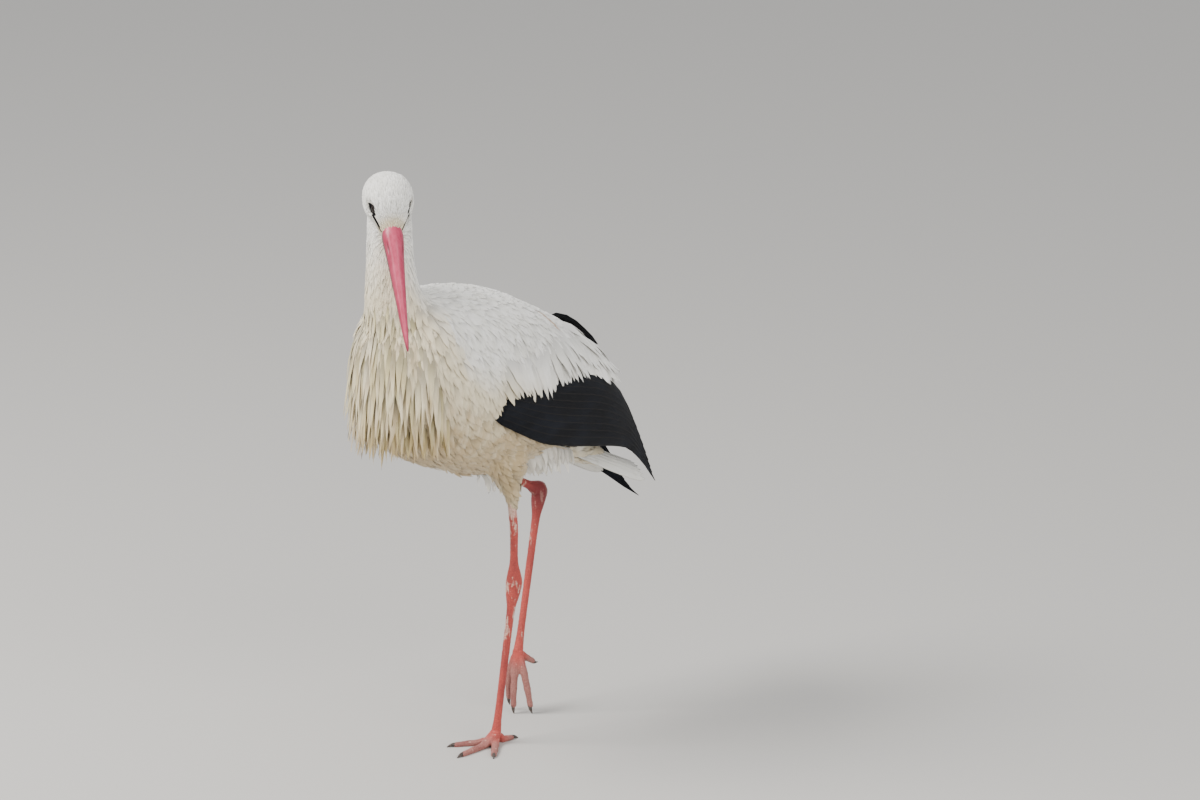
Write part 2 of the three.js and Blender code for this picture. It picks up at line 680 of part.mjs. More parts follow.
const overTrunk = [wings.left.room, wings.right.room, capeRoom];
const carvedTrunk = overTrunk.reduce((solid, room) => solid.subtract(room), trunkBody(0));
const flesh = mainBody(carvedTrunk).add(neckBody(0)).add(headBody(0)).subtract(bibRoom).subtract(bibClear);
const [headPart, body] = parted(flesh, HEAD_CUT);
const [neckPart, trunkPart] = parted(body, NECK_CUT);

// A layer over the trunk, trimmed where it meets the neck and the bib.
const trimmed = (layer) => layer.subtract(neckBody(GAP)).subtract(behindBib);
const bill = billBody.subtract(headBody(GAP)).subtract(neckBody(GAP));
const gape = { at: inHead(BILL_BASE, 0, BILL[2][1] - 1).toArray(), normal: crown.toArray() };
const [upperBill, lowerBill] = parted(bill, gape);
addNode("bill_upper", upperBill, "redHorn");
addNode("bill_lower", lowerBill, "redHorn");
for (const side of ["left", "right"]) addNode(`eye_${side}`, eyeball(side, 0), "eye");
addNode("head", headPart.subtract(eyeball("left", GAP)).subtract(eyeball("right", GAP)), "whitePlumage");
addNode("neck", neckPart, "whitePlumage");
addNode("breast_bib", bib, "creamPlumage");
addNode("trunk", trunkPart, "creamPlumage");
addNode("mantle", trimmed(cape), "whitePlumage");

const aroundTrunk = trunkBody(GAP);
const thighs = {
  left: addLeg("left", PLANTED, PLANTED_TOES, plantedToe),
  right: addLeg("right", SWINGING, SWINGING_TOES, swingingToe),
};
for (const side of ["left", "right"]) {
  addNode(`thigh_${side}`, thighs[side].own.subtract(aroundTrunk), "creamPlumage");
  addNode(`wing_${side}_flight`, trimmed(wings[side].flight), "blackPlumage");
  addNode(`wing_${side}_coverts`, trimmed(wings[side].coverts.subtract(capeClear)), "whitePlumage");
}
const underWings = wings.left.room.add(wings.right.room).add(aroundTrunk);
addNode("tail", tail(0).subtract(underWings), "whitePlumage");
const aroundLegs = thighs.left.room.add(thighs.right.room);
const openVent = vent.subtract(underWings).subtract(tail(2 * GAP)).subtract(aroundLegs);
addNode("vent_plumes", openVent, "whitePlumage");

// The origin is under the middle of the bird, on the ground.
const bounds = new THREE.Box3().setFromObject(standing);
const middle = bounds.getCenter(new THREE.Vector3());
standing.position.set(-middle.x, -middle.y, -bounds.min.z);

export default stork;
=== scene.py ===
# White stork, life-size and still: one skin under a coat of mesh feathers, with a horn bill, glassy
# eyes, scaly red legs and dark claws. Metres, +Z up; the body faces -Y and its left side is +X.

import math

import bpy
import numpy as np
from mathutils import Matrix, Vector
from mathutils.bvhtree import BVHTree


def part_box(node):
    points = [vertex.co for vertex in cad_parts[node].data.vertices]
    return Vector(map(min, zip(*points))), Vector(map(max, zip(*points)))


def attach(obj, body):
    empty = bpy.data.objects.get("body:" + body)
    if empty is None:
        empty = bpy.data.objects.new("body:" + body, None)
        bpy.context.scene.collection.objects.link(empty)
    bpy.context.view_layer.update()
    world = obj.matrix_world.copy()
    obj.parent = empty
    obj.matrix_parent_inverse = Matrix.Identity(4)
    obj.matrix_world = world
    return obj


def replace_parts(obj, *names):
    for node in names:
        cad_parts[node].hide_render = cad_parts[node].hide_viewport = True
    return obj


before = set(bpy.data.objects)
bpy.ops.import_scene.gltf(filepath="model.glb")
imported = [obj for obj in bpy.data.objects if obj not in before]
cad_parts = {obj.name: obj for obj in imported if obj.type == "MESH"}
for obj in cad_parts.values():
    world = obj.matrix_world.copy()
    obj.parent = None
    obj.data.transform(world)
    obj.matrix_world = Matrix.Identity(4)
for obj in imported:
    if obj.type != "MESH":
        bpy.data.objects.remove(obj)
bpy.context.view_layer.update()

# ---------------------------------------------------------------- the way the head is held
# The head is turned to the bird's left, bill down. Everything on it is measured in its own frame:
# ahead along the bill, to the left, and towards the crown. The body is drawn with the planted sole
# near the origin and then set where the solids stand.

HEAD_CENTRE = np.array([-0.001, -0.191, 0.776])
HEAD_TURN = math.radians(52)
BILL_PITCH = math.radians(57)
EYE_AHEAD, EYE_SIDE, EYE_RISE = 0.017, 0.0215, 0.008
EYE_BACK, EYE_WIDER = 0.0030, 0.0014  # the eye is this much further back and out than its solid

head_left = np.array([math.cos(HEAD_TURN), math.sin(HEAD_TURN), 0])
bill_line = np.array([
    math.sin(HEAD_TURN) * math.cos(BILL_PITCH),
    -math.cos(HEAD_TURN) * math.cos(BILL_PITCH),
    -math.sin(BILL_PITCH),
])
crown_line = np.cross(bill_line, head_left)


def in_head(ahead, left=0.0, rise=0.0):
    return HEAD_CENTRE + ahead * bill_line + left * head_left + rise * crown_line


eye_low, eye_high = (np.array(corner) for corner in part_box("eye_left"))
stand = (eye_low + eye_high) / 2 - in_head(EYE_AHEAD, EYE_SIDE, EYE_RISE)

# ---------------------------------------------------------------- skin
# The hide under the plumage: head, neck, trunk, folded upper wings, thighs and vent in one closed
# skin without seams. Each body is a loft, drawn in from its outline by the depth of its feathers,
# and the lofts are then melted together.

SKIN_STEP, SKIN_SMOOTHINGS = 0.0045, 10  # net that melts the lofts together, and how often it is smoothed
# y, back z, belly z, half width of the trunk's upright sections
TRUNK = [
    (-0.224, 0.588, 0.500, 0.020), (-0.208, 0.620, 0.464, 0.054), (-0.165, 0.648, 0.424, 0.088),
    (-0.090, 0.650, 0.393, 0.104), (-0.015, 0.636, 0.373, 0.107), (0.060, 0.606, 0.374, 0.096),
    (0.130, 0.564, 0.388, 0.072), (0.185, 0.505, 0.400, 0.042), (0.214, 0.455, 0.418, 0.010),
]
# y, upper z, lower edge z, half width of the folded wings
WING = [
    (-0.190, 0.602, 0.548, 0.062), (-0.150, 0.627, 0.506, 0.084), (-0.085, 0.631, 0.476, 0.098),
    (0.010, 0.609, 0.430, 0.097), (0.084, 0.578, 0.404, 0.088), (0.157, 0.544, 0.382, 0.076),
    (0.205, 0.507, 0.369, 0.066), (0.247, 0.468, 0.354, 0.054), (0.285, 0.410, 0.331, 0.044),
    (0.318, 0.355, 0.308, 0.033), (0.344, 0.308, 0.290, 0.022),
]
WING_DROP, WING_INWARD, WING_REACH = 0.027, 0.014, 0.006  # how the right wing's rear hangs
WING_REAR = (0.060, 0.300)  # y where it starts to hang, and where it hangs all the way
# x, y, z, half width, back, throat up the neck
NECK = [
    (0, -0.112, 0.545, 0.078, 0.062, 0.062), (0, -0.154, 0.590, 0.064, 0.050, 0.056),
    (-0.001, -0.178, 0.632, 0.044, 0.040, 0.043), (-0.006, -0.181, 0.678, 0.036, 0.034, 0.035),
    (-0.014, -0.173, 0.720, 0.034, 0.031, 0.032), (-0.018, -0.168, 0.756, 0.032, 0.029, 0.030),
    (-0.018, -0.167, 0.782, 0.026, 0.023, 0.025),
]
# ahead, rise, half width, crown, throat along the head
HEAD = [
    (-0.038, 0.002, 0.007, 0.007, 0.007), (-0.033, 0.001, 0.020, 0.018, 0.018),
    (-0.019, 0.000, 0.0312, 0.026, 0.027), (0.000, -0.001, 0.0342, 0.029, 0.029),
    (0.015, -0.002, 0.0318, 0.0255, 0.027), (0.030, -0.004, 0.0225, 0.018, 0.021),
    (0.042, -0.005, 0.0155, 0.013, 0.016), (0.049, -0.005, 0.012, 0.010, 0.012),
]
# z, y of the middle, half width, half depth of the breast
BREAST = [
    (0.430, -0.130, 0.038, 0.044), (0.470, -0.136, 0.066, 0.070), (0.520, -0.140, 0.078, 0.085),
    (0.570, -0.150, 0.070, 0.075), (0.620, -0.170, 0.052, 0.054), (0.655, -0.182, 0.043, 0.041),
]
# y, z of the middle, half width, depth of the vent
VENT = [
    (0.060, 0.400, 0.056, 0.018), (0.140, 0.384, 0.046, 0.020), (0.200, 0.362, 0.032, 0.014),
    (0.240, 0.345, 0.018, 0.008),
]
VENT_RISE = 0.004  # of the skin's sections over those of the feathers
THIGH_GIRTH = 0.029
# share of the way down, share of the girth
THIGH_TAPER = [(0, 0.6), (0.3, 1), (0.6, 0.70), (0.82, 0.46), (1.04, 0.35)]
# knee inside the body, and cuff where the feathers end
THIGHS = {
    "left": ((0.050, -0.022, 0.436), (0.046, 0.008, 0.332)),
    "right": ((-0.052, -0.016, 0.402), (-0.051, 0.098, 0.346)),
}
# depth of the feathers over the skin
COAT_DEPTH = {"head": 0.0012, "neck": 0.004, "trunk": 0.008, "breast": 0.010, "thigh": 0.004, "vent": 0.006}
UNDER_WING = 0.013  # gap kept between the flanks and the quills that lie over them
# where the flanks start to be drawn in for that: height over the wing's lower edge, and y
DRAWN_IN, DRAWN_IN_Y = (-0.016, 0.010), (-0.170, -0.090)
# y, z of the notches between the tips of the white coverts
BORDER = [
    (-0.188, 0.556), (-0.150, 0.512), (-0.095, 0.484), (-0.060, 0.512), (0.010, 0.506), (0.084, 0.508),
    (0.157, 0.496), (0.202, 0.472), (0.226, 0.458), (0.262, 0.436),
]
SOCKET = (0.0100, 0.0074, -0.0003)  # half length and half height of an eye's hollow, and its floor
SOCKET_DEPTH = 0.008
SADDLE = (-0.186, 0.258)  # y of the shell that closes the folded upper wings over the back
SADDLE_UNDER, SADDLE_OPEN = 0.012, (0.110, 0.170)  # it ends this far under the notches behind the trunk
SADDLE_THICK, SADDLE_THINNER = 0.030, 0.010  # over the trunk, and by how much less behind it
# its height beside the quills, and what is added above the notches and on the back
SADDLE_LOW, SADDLE_PUFF, SADDLE_CROWN = -0.003, 0.008, 0.004
THINNEST = 0.0008  # a limb's least half size
TRUNK_END = 0.006  # how far inside its outline the trunk's ends are, and its least half width


def smooth(rows):
    """Cubic values between rows of numbers, looked up by their first column."""
    rows = np.array(rows, float)
    key = rows[:, 0]
    order = np.arange(len(key))
    before, after = np.maximum(order - 1, 0), np.minimum(order + 1, len(key) - 1)
    slope = (rows[after] - rows[before]) / (key[after] - key[before])[:, None]

    def at(x):
        x = np.atleast_1d(x)
        i = np.clip(np.searchsorted(key, x, side="right") - 1, 0, len(key) - 2)
        width = (key[i + 1] - key[i])[:, None]
        t = np.clip((x - key[i])[:, None] / width, 0, 1)
        value = rows[i] * (2 * t**3 - 3 * t**2 + 1) + rows[i + 1] * (3 * t**2 - 2 * t**3)
        value = value + slope[i] * width * (t**3 - 2 * t**2 + t) + slope[i + 1] * width * (t**3 - t**2)
        return value[:, 1:]

    return at


def step(x, low, high):
    """0 below low, 1 above high, and smooth between them; low may be the larger."""
    t = np.clip((x - low) / (high - low), 0, 1)
    return t * t * (3 - 2 * t)


def unit(vectors):
    return vectors / np.maximum(np.linalg.norm(vectors, axis=-1, keepdims=True), 1e-9)


def closed_loft(rings):
    """Points and faces of a closed body through rings of equal size, with a fan over each end."""
    rings = np.asarray(rings)
    count, sides = rings.shape[:2]
    points = np.concatenate([rings.reshape(-1, 3), rings[0].mean(0)[None], rings[-1].mean(0)[None]])
    last = (count - 1) * sides
    faces = []
    for k in range(sides):
        n = (k + 1) % sides
        faces += [(r + k, r + n, r + sides + n, r + sides + k) for r in range(0, last, sides)]
        faces.append((count * sides, n, k))
        faces.append((count * sides + 1, last + k, last + n))
    return points, faces


def limb(stations, across, sides=24, steps=24, grow=0.0):
    """Closed round body along stations of x, y, z, half width, rise and fall."""
    stations, across = np.array(stations, float), np.asarray(across, float)
    run = np.concatenate([[0], np.cumsum(np.linalg.norm(np.diff(stations[:, :3], axis=0), axis=1))])
    rows = smooth(np.column_stack([run, stations]))(np.linspace(0, run[-1], steps + 1))
    along = unit(np.gradient(rows[:, :3], axis=0))
    wide = unit(across - along * (along @ across)[:, None])
    tall = np.cross(along, wide)
    angle = np.linspace(0, 2 * math.pi, sides, endpoint=False)
    height = np.where(np.sin(angle) > 0, rows[:, 4:5], rows[:, 5:6])
    size_wide, size_tall = np.maximum(rows[:, 3:4] + grow, THINNEST), np.maximum(height + grow, THINNEST)
    rings = rows[:, None, :3] + (size_wide * np.cos(angle))[..., None] * wide[:, None]
    return closed_loft(rings + (size_tall * np.sin(angle))[..., None] * tall[:, None])


def wing_section(y):
    """Upper height, lower height and half width of the folded wings at y."""
    y = np.asarray(y, float)
    return np.moveaxis(smooth(WING)(y.ravel()).reshape(*y.shape, 3), -1, 0)


def border_z(y):
    y = np.asarray(y, float)
    return smooth(BORDER)(y.ravel())[:, 0].reshape(y.shape)


def wing_droop(y, right):
    """How far the right wing hangs lower than the left one; nothing where right is false."""
    return WING_DROP * step(y, *WING_REAR) * right


def wing_point(side, y, across):
    """Point on the under side of a folded wing; across runs from 0 on the back to 1 at the lower edge."""
    y, across = np.broadcast_arrays(np.asarray(y, float), np.asarray(across, float))
    upper, lower, half = wing_section(y)
    angle = across * math.pi / 2
    right = side == "right"
    rear = step(y, *WING_REAR) * right
    out = half * np.sin(angle) - WING_INWARD * rear * across
    height = lower + (upper - lower) * np.cos(angle) - WING_DROP * rear
    return np.stack([-out if right else out, y + WING_REACH * rear, height], -1)


def across_at(y, z):
    """The share across a folded wing at which it has a height."""
    upper, lower, _ = wing_section(y)
    return math.acos(min(max((z - lower) / (upper - lower), 0), 1)) / (math.pi / 2)


def oval_rings(sides, y, z, wide, deep=0.0, tall=0.0):
    """Rings round the middle plane of the body, one for each y and z."""
    angle = np.linspace(0, 2 * math.pi, sides, endpoint=False)
    rows = [np.reshape(row, (-1, 1)) for row in (wide, y, deep, z, tall)]
    wide, y, deep, z, tall = (np.broadcast_to(row, (len(rows[0]), 1)) for row in rows)
    return np.stack([wide * np.cos(angle), y + deep * np.sin(angle), z + tall * np.sin(angle)], -1)


def trunk_loft():
    y = np.linspace(TRUNK[0][0] + TRUNK_END, TRUNK[-1][0] - TRUNK_END, 40)
    back, belly, half = smooth(TRUNK)(y).T
    depth = COAT_DEPTH["trunk"]
    wide, tall = np.maximum(half - depth, TRUNK_END), (back - belly) / 2 - depth
    rings = oval_rings(40, y, (back + belly) / 2, wide, tall=tall)
    _, lower, room = wing_section(y)[..., None]
    over = step(rings[..., 2], lower + DRAWN_IN[0], lower + DRAWN_IN[1]) * step(y, *DRAWN_IN_Y)[:, None]
    excess = np.maximum(np.abs(rings[..., 0]) - room + UNDER_WING, 0)
    rings[..., 0] -= np.sign(rings[..., 0]) * excess * over
    return closed_loft(rings)


def saddle_loft():
    """The folded upper wings and the back between them: solid over the trunk, a thin shell behind it."""
    ring_rows = []
    for here in np.linspace(*SADDLE, 36):
        reach = 1 + (across_at(here, border_z(here) - SADDLE_UNDER) - 1) * step(here, *SADDLE_OPEN)
        share = np.linspace(-1, 1, 41) * reach
        left, right = (wing_point(side, here, np.abs(share)) for side in ("left", "right"))
        right[:, 2] += (left[:, 2] - right[:, 2]) * step(np.abs(share), 0.30, 0.0)
        surface = np.where(share[:, None] > 0, left, right)
        normal = unit(np.cross(np.gradient(surface, axis=0), [0, -1, 0]))
        normal *= np.sign(normal[20, 2])
        over = surface[:, 2] - border_z(here) + wing_droop(here, share < 0)
        crown = SADDLE_CROWN * step(np.abs(share), 0.7, 0.3) * step(here, 0.16, 0.08)
        top = surface + normal * (SADDLE_LOW + SADDLE_PUFF * step(over, -0.002, 0.022) + crown)[:, None]
        low = top[::-1] - normal[::-1] * (SADDLE_THICK - SADDLE_THINNER * step(here, 0.110, 0.180))
        ring_rows.append(np.concatenate([top, low]))
    return closed_loft(ring_rows)


def breast_loft():
    z = np.linspace(0.436, 0.652, 24)
    y, half, deep = smooth(BREAST)(z).T
    depth = COAT_DEPTH["breast"]
    return closed_loft(oval_rings(40, y, z, half - depth, deep=deep - depth))


def vent_loft():
    y = np.linspace(VENT[0][0], VENT[-1][0], 16)
    z, half, deep = smooth(VENT)(y).T
    wide = np.maximum(half - COAT_DEPTH["vent"], 0.004)
    return closed_loft(oval_rings(24, y, z + VENT_RISE, wide, tall=np.maximum(deep, 0.010)))


def thigh_loft(knee, cuff):
    knee, cuff = np.array(knee), np.array(cuff)
    rows = [(*(knee + (cuff - knee) * share), *(size * THIGH_GIRTH,) * 3) for share, size in THIGH_TAPER]
    return limb(rows, (1, 0, 0), grow=-COAT_DEPTH["thigh"])


def new_piece(name, points, faces, material=None):
    """A mesh object at the origin, drawn in the body's own frame and set where the solids stand."""
    mesh = bpy.data.meshes.new(name)
    mesh.from_pydata((np.asarray(points) + stand).tolist(), [], [tuple(face) for face in faces])
    mesh.shade_smooth()
    if material:
        mesh.materials.append(material)
    piece = bpy.data.objects.new(name, mesh)
    bpy.context.scene.collection.objects.link(piece)
    return piece


def turned_out(points, faces):
    """The faces of a closed body, all facing outwards."""
    fans = [(face[0], face[i], face[i + 1]) for face in faces for i in range(1, len(face) - 1)]
    a, b, c = points[np.array(fans).T]
    outwards = np.einsum("ij,ij->i", a, np.cross(b, c)).sum() > 0
    return faces if outwards else [tuple(face)[::-1] for face in faces]


def joined(parts):
    """Points and faces of several bodies in one list."""
    points, faces, start = [], [], 0
    for part_points, part_faces in parts:
        points.append(part_points)
        faces += [tuple(index + start for index in face) for face in part_faces]
        start += len(part_points)
    return np.concatenate(points), faces


def baked(piece):
    """The piece with its modifiers applied, as a plain mesh."""
    depsgraph = bpy.context.evaluated_depsgraph_get()
    mesh = bpy.data.meshes.new_from_object(piece.evaluated_get(depsgraph))
    old = piece.data
    piece.modifiers.clear()
    piece.data = mesh
    bpy.data.meshes.remove(old)
    return piece


def melted(piece, net, smoothings):
    """The piece's bodies melted into one smoothed skin, as a plain mesh."""
    melt = piece.modifiers.new("melt", "REMESH")
    melt.mode = "VOXEL"
    melt.voxel_size = net
    melt.use_smooth_shade = True
    soften = piece.modifiers.new("soften", "SMOOTH")
    soften.factor = 0.5
    soften.iterations = smoothings
    return baked(piece)


def points_of(piece):
    """The piece's points in the body's own frame."""
    return np.array([v.co for v in piece.data.vertices]) - stand


def move_points(piece, points):
    piece.data.vertices.foreach_set("co", (points + stand).astype(np.float32).ravel())


def mark_points(piece, **marks):
    """Numbers on the piece's points, for its material."""
    for name, values in marks.items():
        layer = piece.data.attributes.new(name, "FLOAT", "POINT")
        layer.data.foreach_set("value", np.asarray(values, np.float32))


def eye_frame(side):
    """Centre of an eye and its axes: outwards, towards the bill, towards the crown."""
    sign = 1 if side == "left" else -1
    centre = in_head(EYE_AHEAD - EYE_BACK, sign * (EYE_SIDE + EYE_WIDER), EYE_RISE)
    outwards = unit(sign * head_left * 0.97 + bill_line * 0.20 + crown_line * 0.10)
    ahead = unit(bill_line - outwards * (bill_line @ outwards))
    up = unit(crown_line - outwards * (crown_line @ outwards) - ahead * (crown_line @ ahead))
    return centre, outwards, ahead, up


head_rows = [(*in_head(ahead, 0, rise), *sizes) for ahead, rise, *sizes in HEAD]
bodies = [
    trunk_loft(), saddle_loft(), breast_loft(), vent_loft(),
    limb(NECK, (1, 0, 0), 36, 30, -COAT_DEPTH["neck"]),
    limb(head_rows, head_left, 36, 30, -COAT_DEPTH["head"]),
    thigh_loft(*THIGHS["left"]), thigh_loft(*THIGHS["right"]),
]
skin = melted(new_piece("skin", *joined(bodies)), SKIN_STEP, SKIN_SMOOTHINGS)
skin.data.name = "skin"

# Each eye lies in a shallow almond hollow under the brow.
hollow = points_of(skin)
for side in ("left", "right"):
    centre, outwards, ahead, up = eye_frame(side)
    offset = hollow - centre
    u, v, w = offset @ ahead, offset @ up, offset @ outwards
    near = np.clip(1 - (u / SOCKET[0]) ** 2 - (v / SOCKET[1]) ** 2, 0, 1) * (w > -0.004)
    hollow = hollow - outwards * (near**0.7 * np.clip(w - SOCKET[2], 0, SOCKET_DEPTH))[:, None]
move_points(skin, hollow)

# The skin is laid flat once; every feather takes its place on that map from its root.
bpy.context.view_layer.objects.active = skin
skin.select_set(True)
bpy.ops.object.mode_set(mode="EDIT")
bpy.ops.mesh.select_all(action="SELECT")
bpy.ops.uv.smart_project(angle_limit=math.radians(60), island_margin=0.004)
bpy.ops.object.mode_set(mode="OBJECT")
skin.select_set(False)
skin.data.uv_layers.active.name = "OFBake"

skin.data.calc_loop_triangles()
skin_points = points_of(skin)
skin_triangles = np.array([t.vertices for t in skin.data.loop_triangles])
triangle_loops = np.array([t.loops for t in skin.data.loop_triangles])
loop_map = np.array([entry.uv for entry in skin.data.uv_layers["OFBake"].data])
skin_tree = BVHTree.FromPolygons(skin_points.tolist(), skin_triangles.tolist())

# ---------------------------------------------------------------- plumage colours
# Clean white on the head, back and wings; soiled cream and buff on the breast, flanks and belly, with the
# buff deeper lower down as soiling and painted shade together, and painted grey shade on the cheeks. The skin
# and every coat piece share one way of colouring, worked out from the place on the body.

WHITE = (0.90, 0.89, 0.86, 1)
IVORY = (0.80, 0.71, 0.52, 1)
BUFF = (0.50, 0.38, 0.215, 1)
SHADOW_WHITE = (0.68, 0.665, 0.62, 1)
GROUND_PAINTED_SHADE = (0.88, 0.85, 0.79, 1)  # painted shade of the skin between the feathers
QUILL_BLACK = (0.0028, 0.0032, 0.0050, 1)
RUST = (0.42, 0.23, 0.10, 1)
RUST_PLACE, RUST_LINE, RUST_SIZE = (0.044, 0.086), (0.55, 0.83), (0.022, 0.0062)  # a stain on the left wing
RUST_HEIGHT, RUST_WANDER = (0.50, 0.52), 0.010
# painted grey shade on each cheek below the eye: its colour, where it lies and how far it reaches
CHEEK_SHADE_GREY = (0.38, 0.37, 0.35, 1)
CHEEK_SHADE_PLACE, CHEEK_SHADE_REACH = (0.020, 0.026, -0.014), (0.019, 0.004)
FOREHEAD_CREAM, CREAM_REACH = (0.052, 0, 0.004), (0.042, 0.010)
# where the soiling of a part fades in along y, where it does along z, and how strong it is
SOILED = {
    "breast": ((-0.100, -0.190), (0.700, 0.540), 0.72), "flank": ((0.170, 0.060), (0.585, 0.450), 0.88),
    "nape": ((-0.160, -0.215), (0.750, 0.690), 0.30), "vent": ((0.075, 0.105), (0.410, 0.360), 0.45),
}
CLEAN_BEHIND, CLEAN_ABOVE = (-0.090, 0.080), (0.560, 0.650)  # y and z where feathers can be kept clean
LOW_SOIL_AND_SHADE = (0.530, 0.415)  # z where the buff deepens lower down: soiling, and painted shade under the belly
BARE_PATCH = (0.0100, 0.0056)  # half length and half height of the black skin round an eye
BARE_LINE = 0.0022  # half width of the black line from the eye to the corner of the gape
FEATHER_ROOM = 0.0007  # kept free of roots beside that line
GAPE_CORNER = (0.0430, 0.0160, -0.0045)
WING_FROM = -0.100  # y where the dark part of a wing begins


class Wire:
    """One output of a shader node, which Python's operators work on."""

    def __init__(self, tree, socket):
        self.tree, self.socket = tree, socket

    @classmethod
    def node(cls, tree, kind, settings=None, sockets=None, output=0):
        node = tree.nodes.new("ShaderNode" + kind)
        for name, value in (settings or {}).items():
            setattr(node, name, value)
        for key, value in (sockets or {}).items():
            if isinstance(value, Wire):
                tree.links.new(value.socket, node.inputs[key])
            else:
                node.inputs[key].default_value = value
        return cls(tree, node.outputs[output])

    def math(self, operation, *others):
        return Wire.node(self.tree, "Math", {"operation": operation}, dict(enumerate((self, *others))))

    def __add__(self, other):
        return self.math("ADD", other)

    def __sub__(self, other):
        return self.math("SUBTRACT", other)

    def __rsub__(self, other):
        return Wire.node(self.tree, "Math", {"operation": "SUBTRACT"}, {0: other, 1: self})

    def __mul__(self, other):
        return self.math("MULTIPLY", other)

    def __pow__(self, other):
        return self.math("POWER", other)

    def __abs__(self):
        return self.math("ABSOLUTE")

    __radd__, __rmul__ = __add__, __mul__

    def clamped(self):
        return self.math("MAXIMUM", 0.0).math("MINIMUM", 1.0)

    def fade(self, low, high):
        """0 at low and 1 at high, smooth between; low may be the larger."""
        sockets = {"Value": self, "From Min": low, "From Max": high}
        return Wire.node(self.tree, "MapRange", {"interpolation_type": "SMOOTHSTEP"}, sockets)

    def mix(self, first, second):
        """Two colours mixed by this factor."""
        settings = {"data_type": "RGBA", "clamp_factor": True}
        return Wire.node(self.tree, "Mix", settings, {0: self, 6: first, 7: second}, output=2)

    def tinted(self, colour):
        """This colour multiplied by another one."""
        settings = {"data_type": "RGBA", "blend_type": "MULTIPLY"}
        return Wire.node(self.tree, "Mix", settings, {0: 1.0, 6: self, 7: colour}, output=2)

    def axes(self, count=3):
        """The first numbers of this vector."""
        return [Wire.node(self.tree, "SeparateXYZ", None, {0: self}, output=axis) for axis in range(count)]

    def vector(self, operation, other):
        """Vector maths with a place or a vector, which may be plain numbers."""
        other = other if isinstance(other, Wire) else tuple(float(value) for value in other)
        output = 1 if operation in ("DISTANCE", "DOT_PRODUCT") else 0
        return Wire.node(self.tree, "VectorMath", {"operation": operation}, {0: self, 1: other}, output)


def new_material(name, roughness=0.8, **fixed):
    """A material with one principled shader: (material, tree, shader)."""
    material = bpy.data.materials.new(name)
    material.use_nodes = True
    shader = material.node_tree.nodes["Principled BSDF"]
    shader.inputs["Roughness"].default_value = roughness
    for socket, value in fixed.items():
        shader.inputs[socket.replace("_", " ")].default_value = value
    return material, material.node_tree, shader


def body_place(tree):
    """The shaded place in the body's own frame."""
    return Wire.node(tree, "TexCoord", output=3).vector("SUBTRACT", stand)


def noise(place, scale, detail=3.0, stretch=(1, 1, 1)):
    place = place.vector("MULTIPLY", stretch)
    sockets = {"Vector": place, "Scale": scale, "Detail": detail, "Roughness": 0.6}
    return Wire.node(place.tree, "TexNoise", None, sockets)


def point_mark(tree, name):
    """A number that the piece keeps on its points."""
    return Wire.node(tree, "Attribute", {"attribute_name": name}, output=2)


def plumage_colour(place, age=0.0, clean=0.0):
    """White with cream and buff where the plumage is soiled, the buff deeper lower down as painted shade too,
    and painted grey shade on the cheeks; age adds to the soiling, clean keeps it off.
    """
    x, y, z = place.axes()
    cloud = noise(place, 14.0, 3.0)
    grain = noise(place, 90.0, 2.0, (1, 1, 0.35))
    parts = (y.fade(*along) * z.fade(*up) * strength for along, up, strength in SOILED.values())
    cleaned = y.fade(*CLEAN_BEHIND).math("MAXIMUM", z.fade(*CLEAN_ABOVE)) * clean
    soiled = (sum(parts) + age) * (1.0 - cleaned)
    forehead = place.vector("DISTANCE", in_head(*FOREHEAD_CREAM)).fade(*CREAM_REACH)
    soiled = (soiled + forehead * 0.62 + (cloud - 0.5) * (0.30 + 0.70 * soiled)).clamped()
    white = (cloud * 0.5 + grain * 0.6).fade(0.20, 0.60).mix(SHADOW_WHITE, WHITE)
    ivory = soiled.fade(0.06, 0.60).mix(white, IVORY)
    # buff deepens where soiled and lower down: soiling, and painted shade under the belly
    deep = (grain * 1.7 + soiled * 0.9 + z.fade(*LOW_SOIL_AND_SHADE) * 0.75 - 1.50).clamped() * soiled
    colour = deep.clamped().mix(ivory, BUFF)
    # painted grey shade on each cheek
    ahead, out, rise = CHEEK_SHADE_PLACE
    gaps = (place.vector("DISTANCE", in_head(ahead, sign * out, rise)) for sign in (1, -1))
    cheek_shade = sum(gap.fade(*CHEEK_SHADE_REACH) for gap in gaps)
    colour = (cheek_shade * grain.fade(0.36, 0.66) * 0.85).clamped().mix(colour, CHEEK_SHADE_GREY)
    off_x, off_y = x - RUST_PLACE[0], y - RUST_PLACE[1]
    along = abs(off_x * RUST_LINE[0] + off_y * RUST_LINE[1])
    across = abs(off_x * RUST_LINE[1] - off_y * RUST_LINE[0] + (grain - 0.5) * RUST_WANDER)
    stain = along.fade(RUST_SIZE[0], 0.5 * RUST_SIZE[0]) * across.fade(RUST_SIZE[1], 0.3 * RUST_SIZE[1])
    return (stain * z.fade(*RUST_HEIGHT) * 0.85).clamped().mix(colour, RUST)


def finish(shader, colour, height=None, depth=0.0004, strength=0.6):
    tree = colour.tree
    tree.links.new(colour.socket, shader.inputs["Base Color"])
    if height is not None:
        bump = Wire.node(tree, "Bump", None, {"Height": height, "Distance": depth, "Strength": strength})
        tree.links.new(bump.socket, shader.inputs["Normal"])


def vane_place(tree, barbs, slant):
    """How far up its vane a place is, how far from the shaft (0.5 at the rim), and the wave of the barbs."""
    across, along = Wire.node(tree, "UVMap", {"uv_map": "Vane"}).axes(2)
    side = abs(across - 0.5)
    return along, side, ((along * barbs - side * slant) * 6.283).math("SINE")


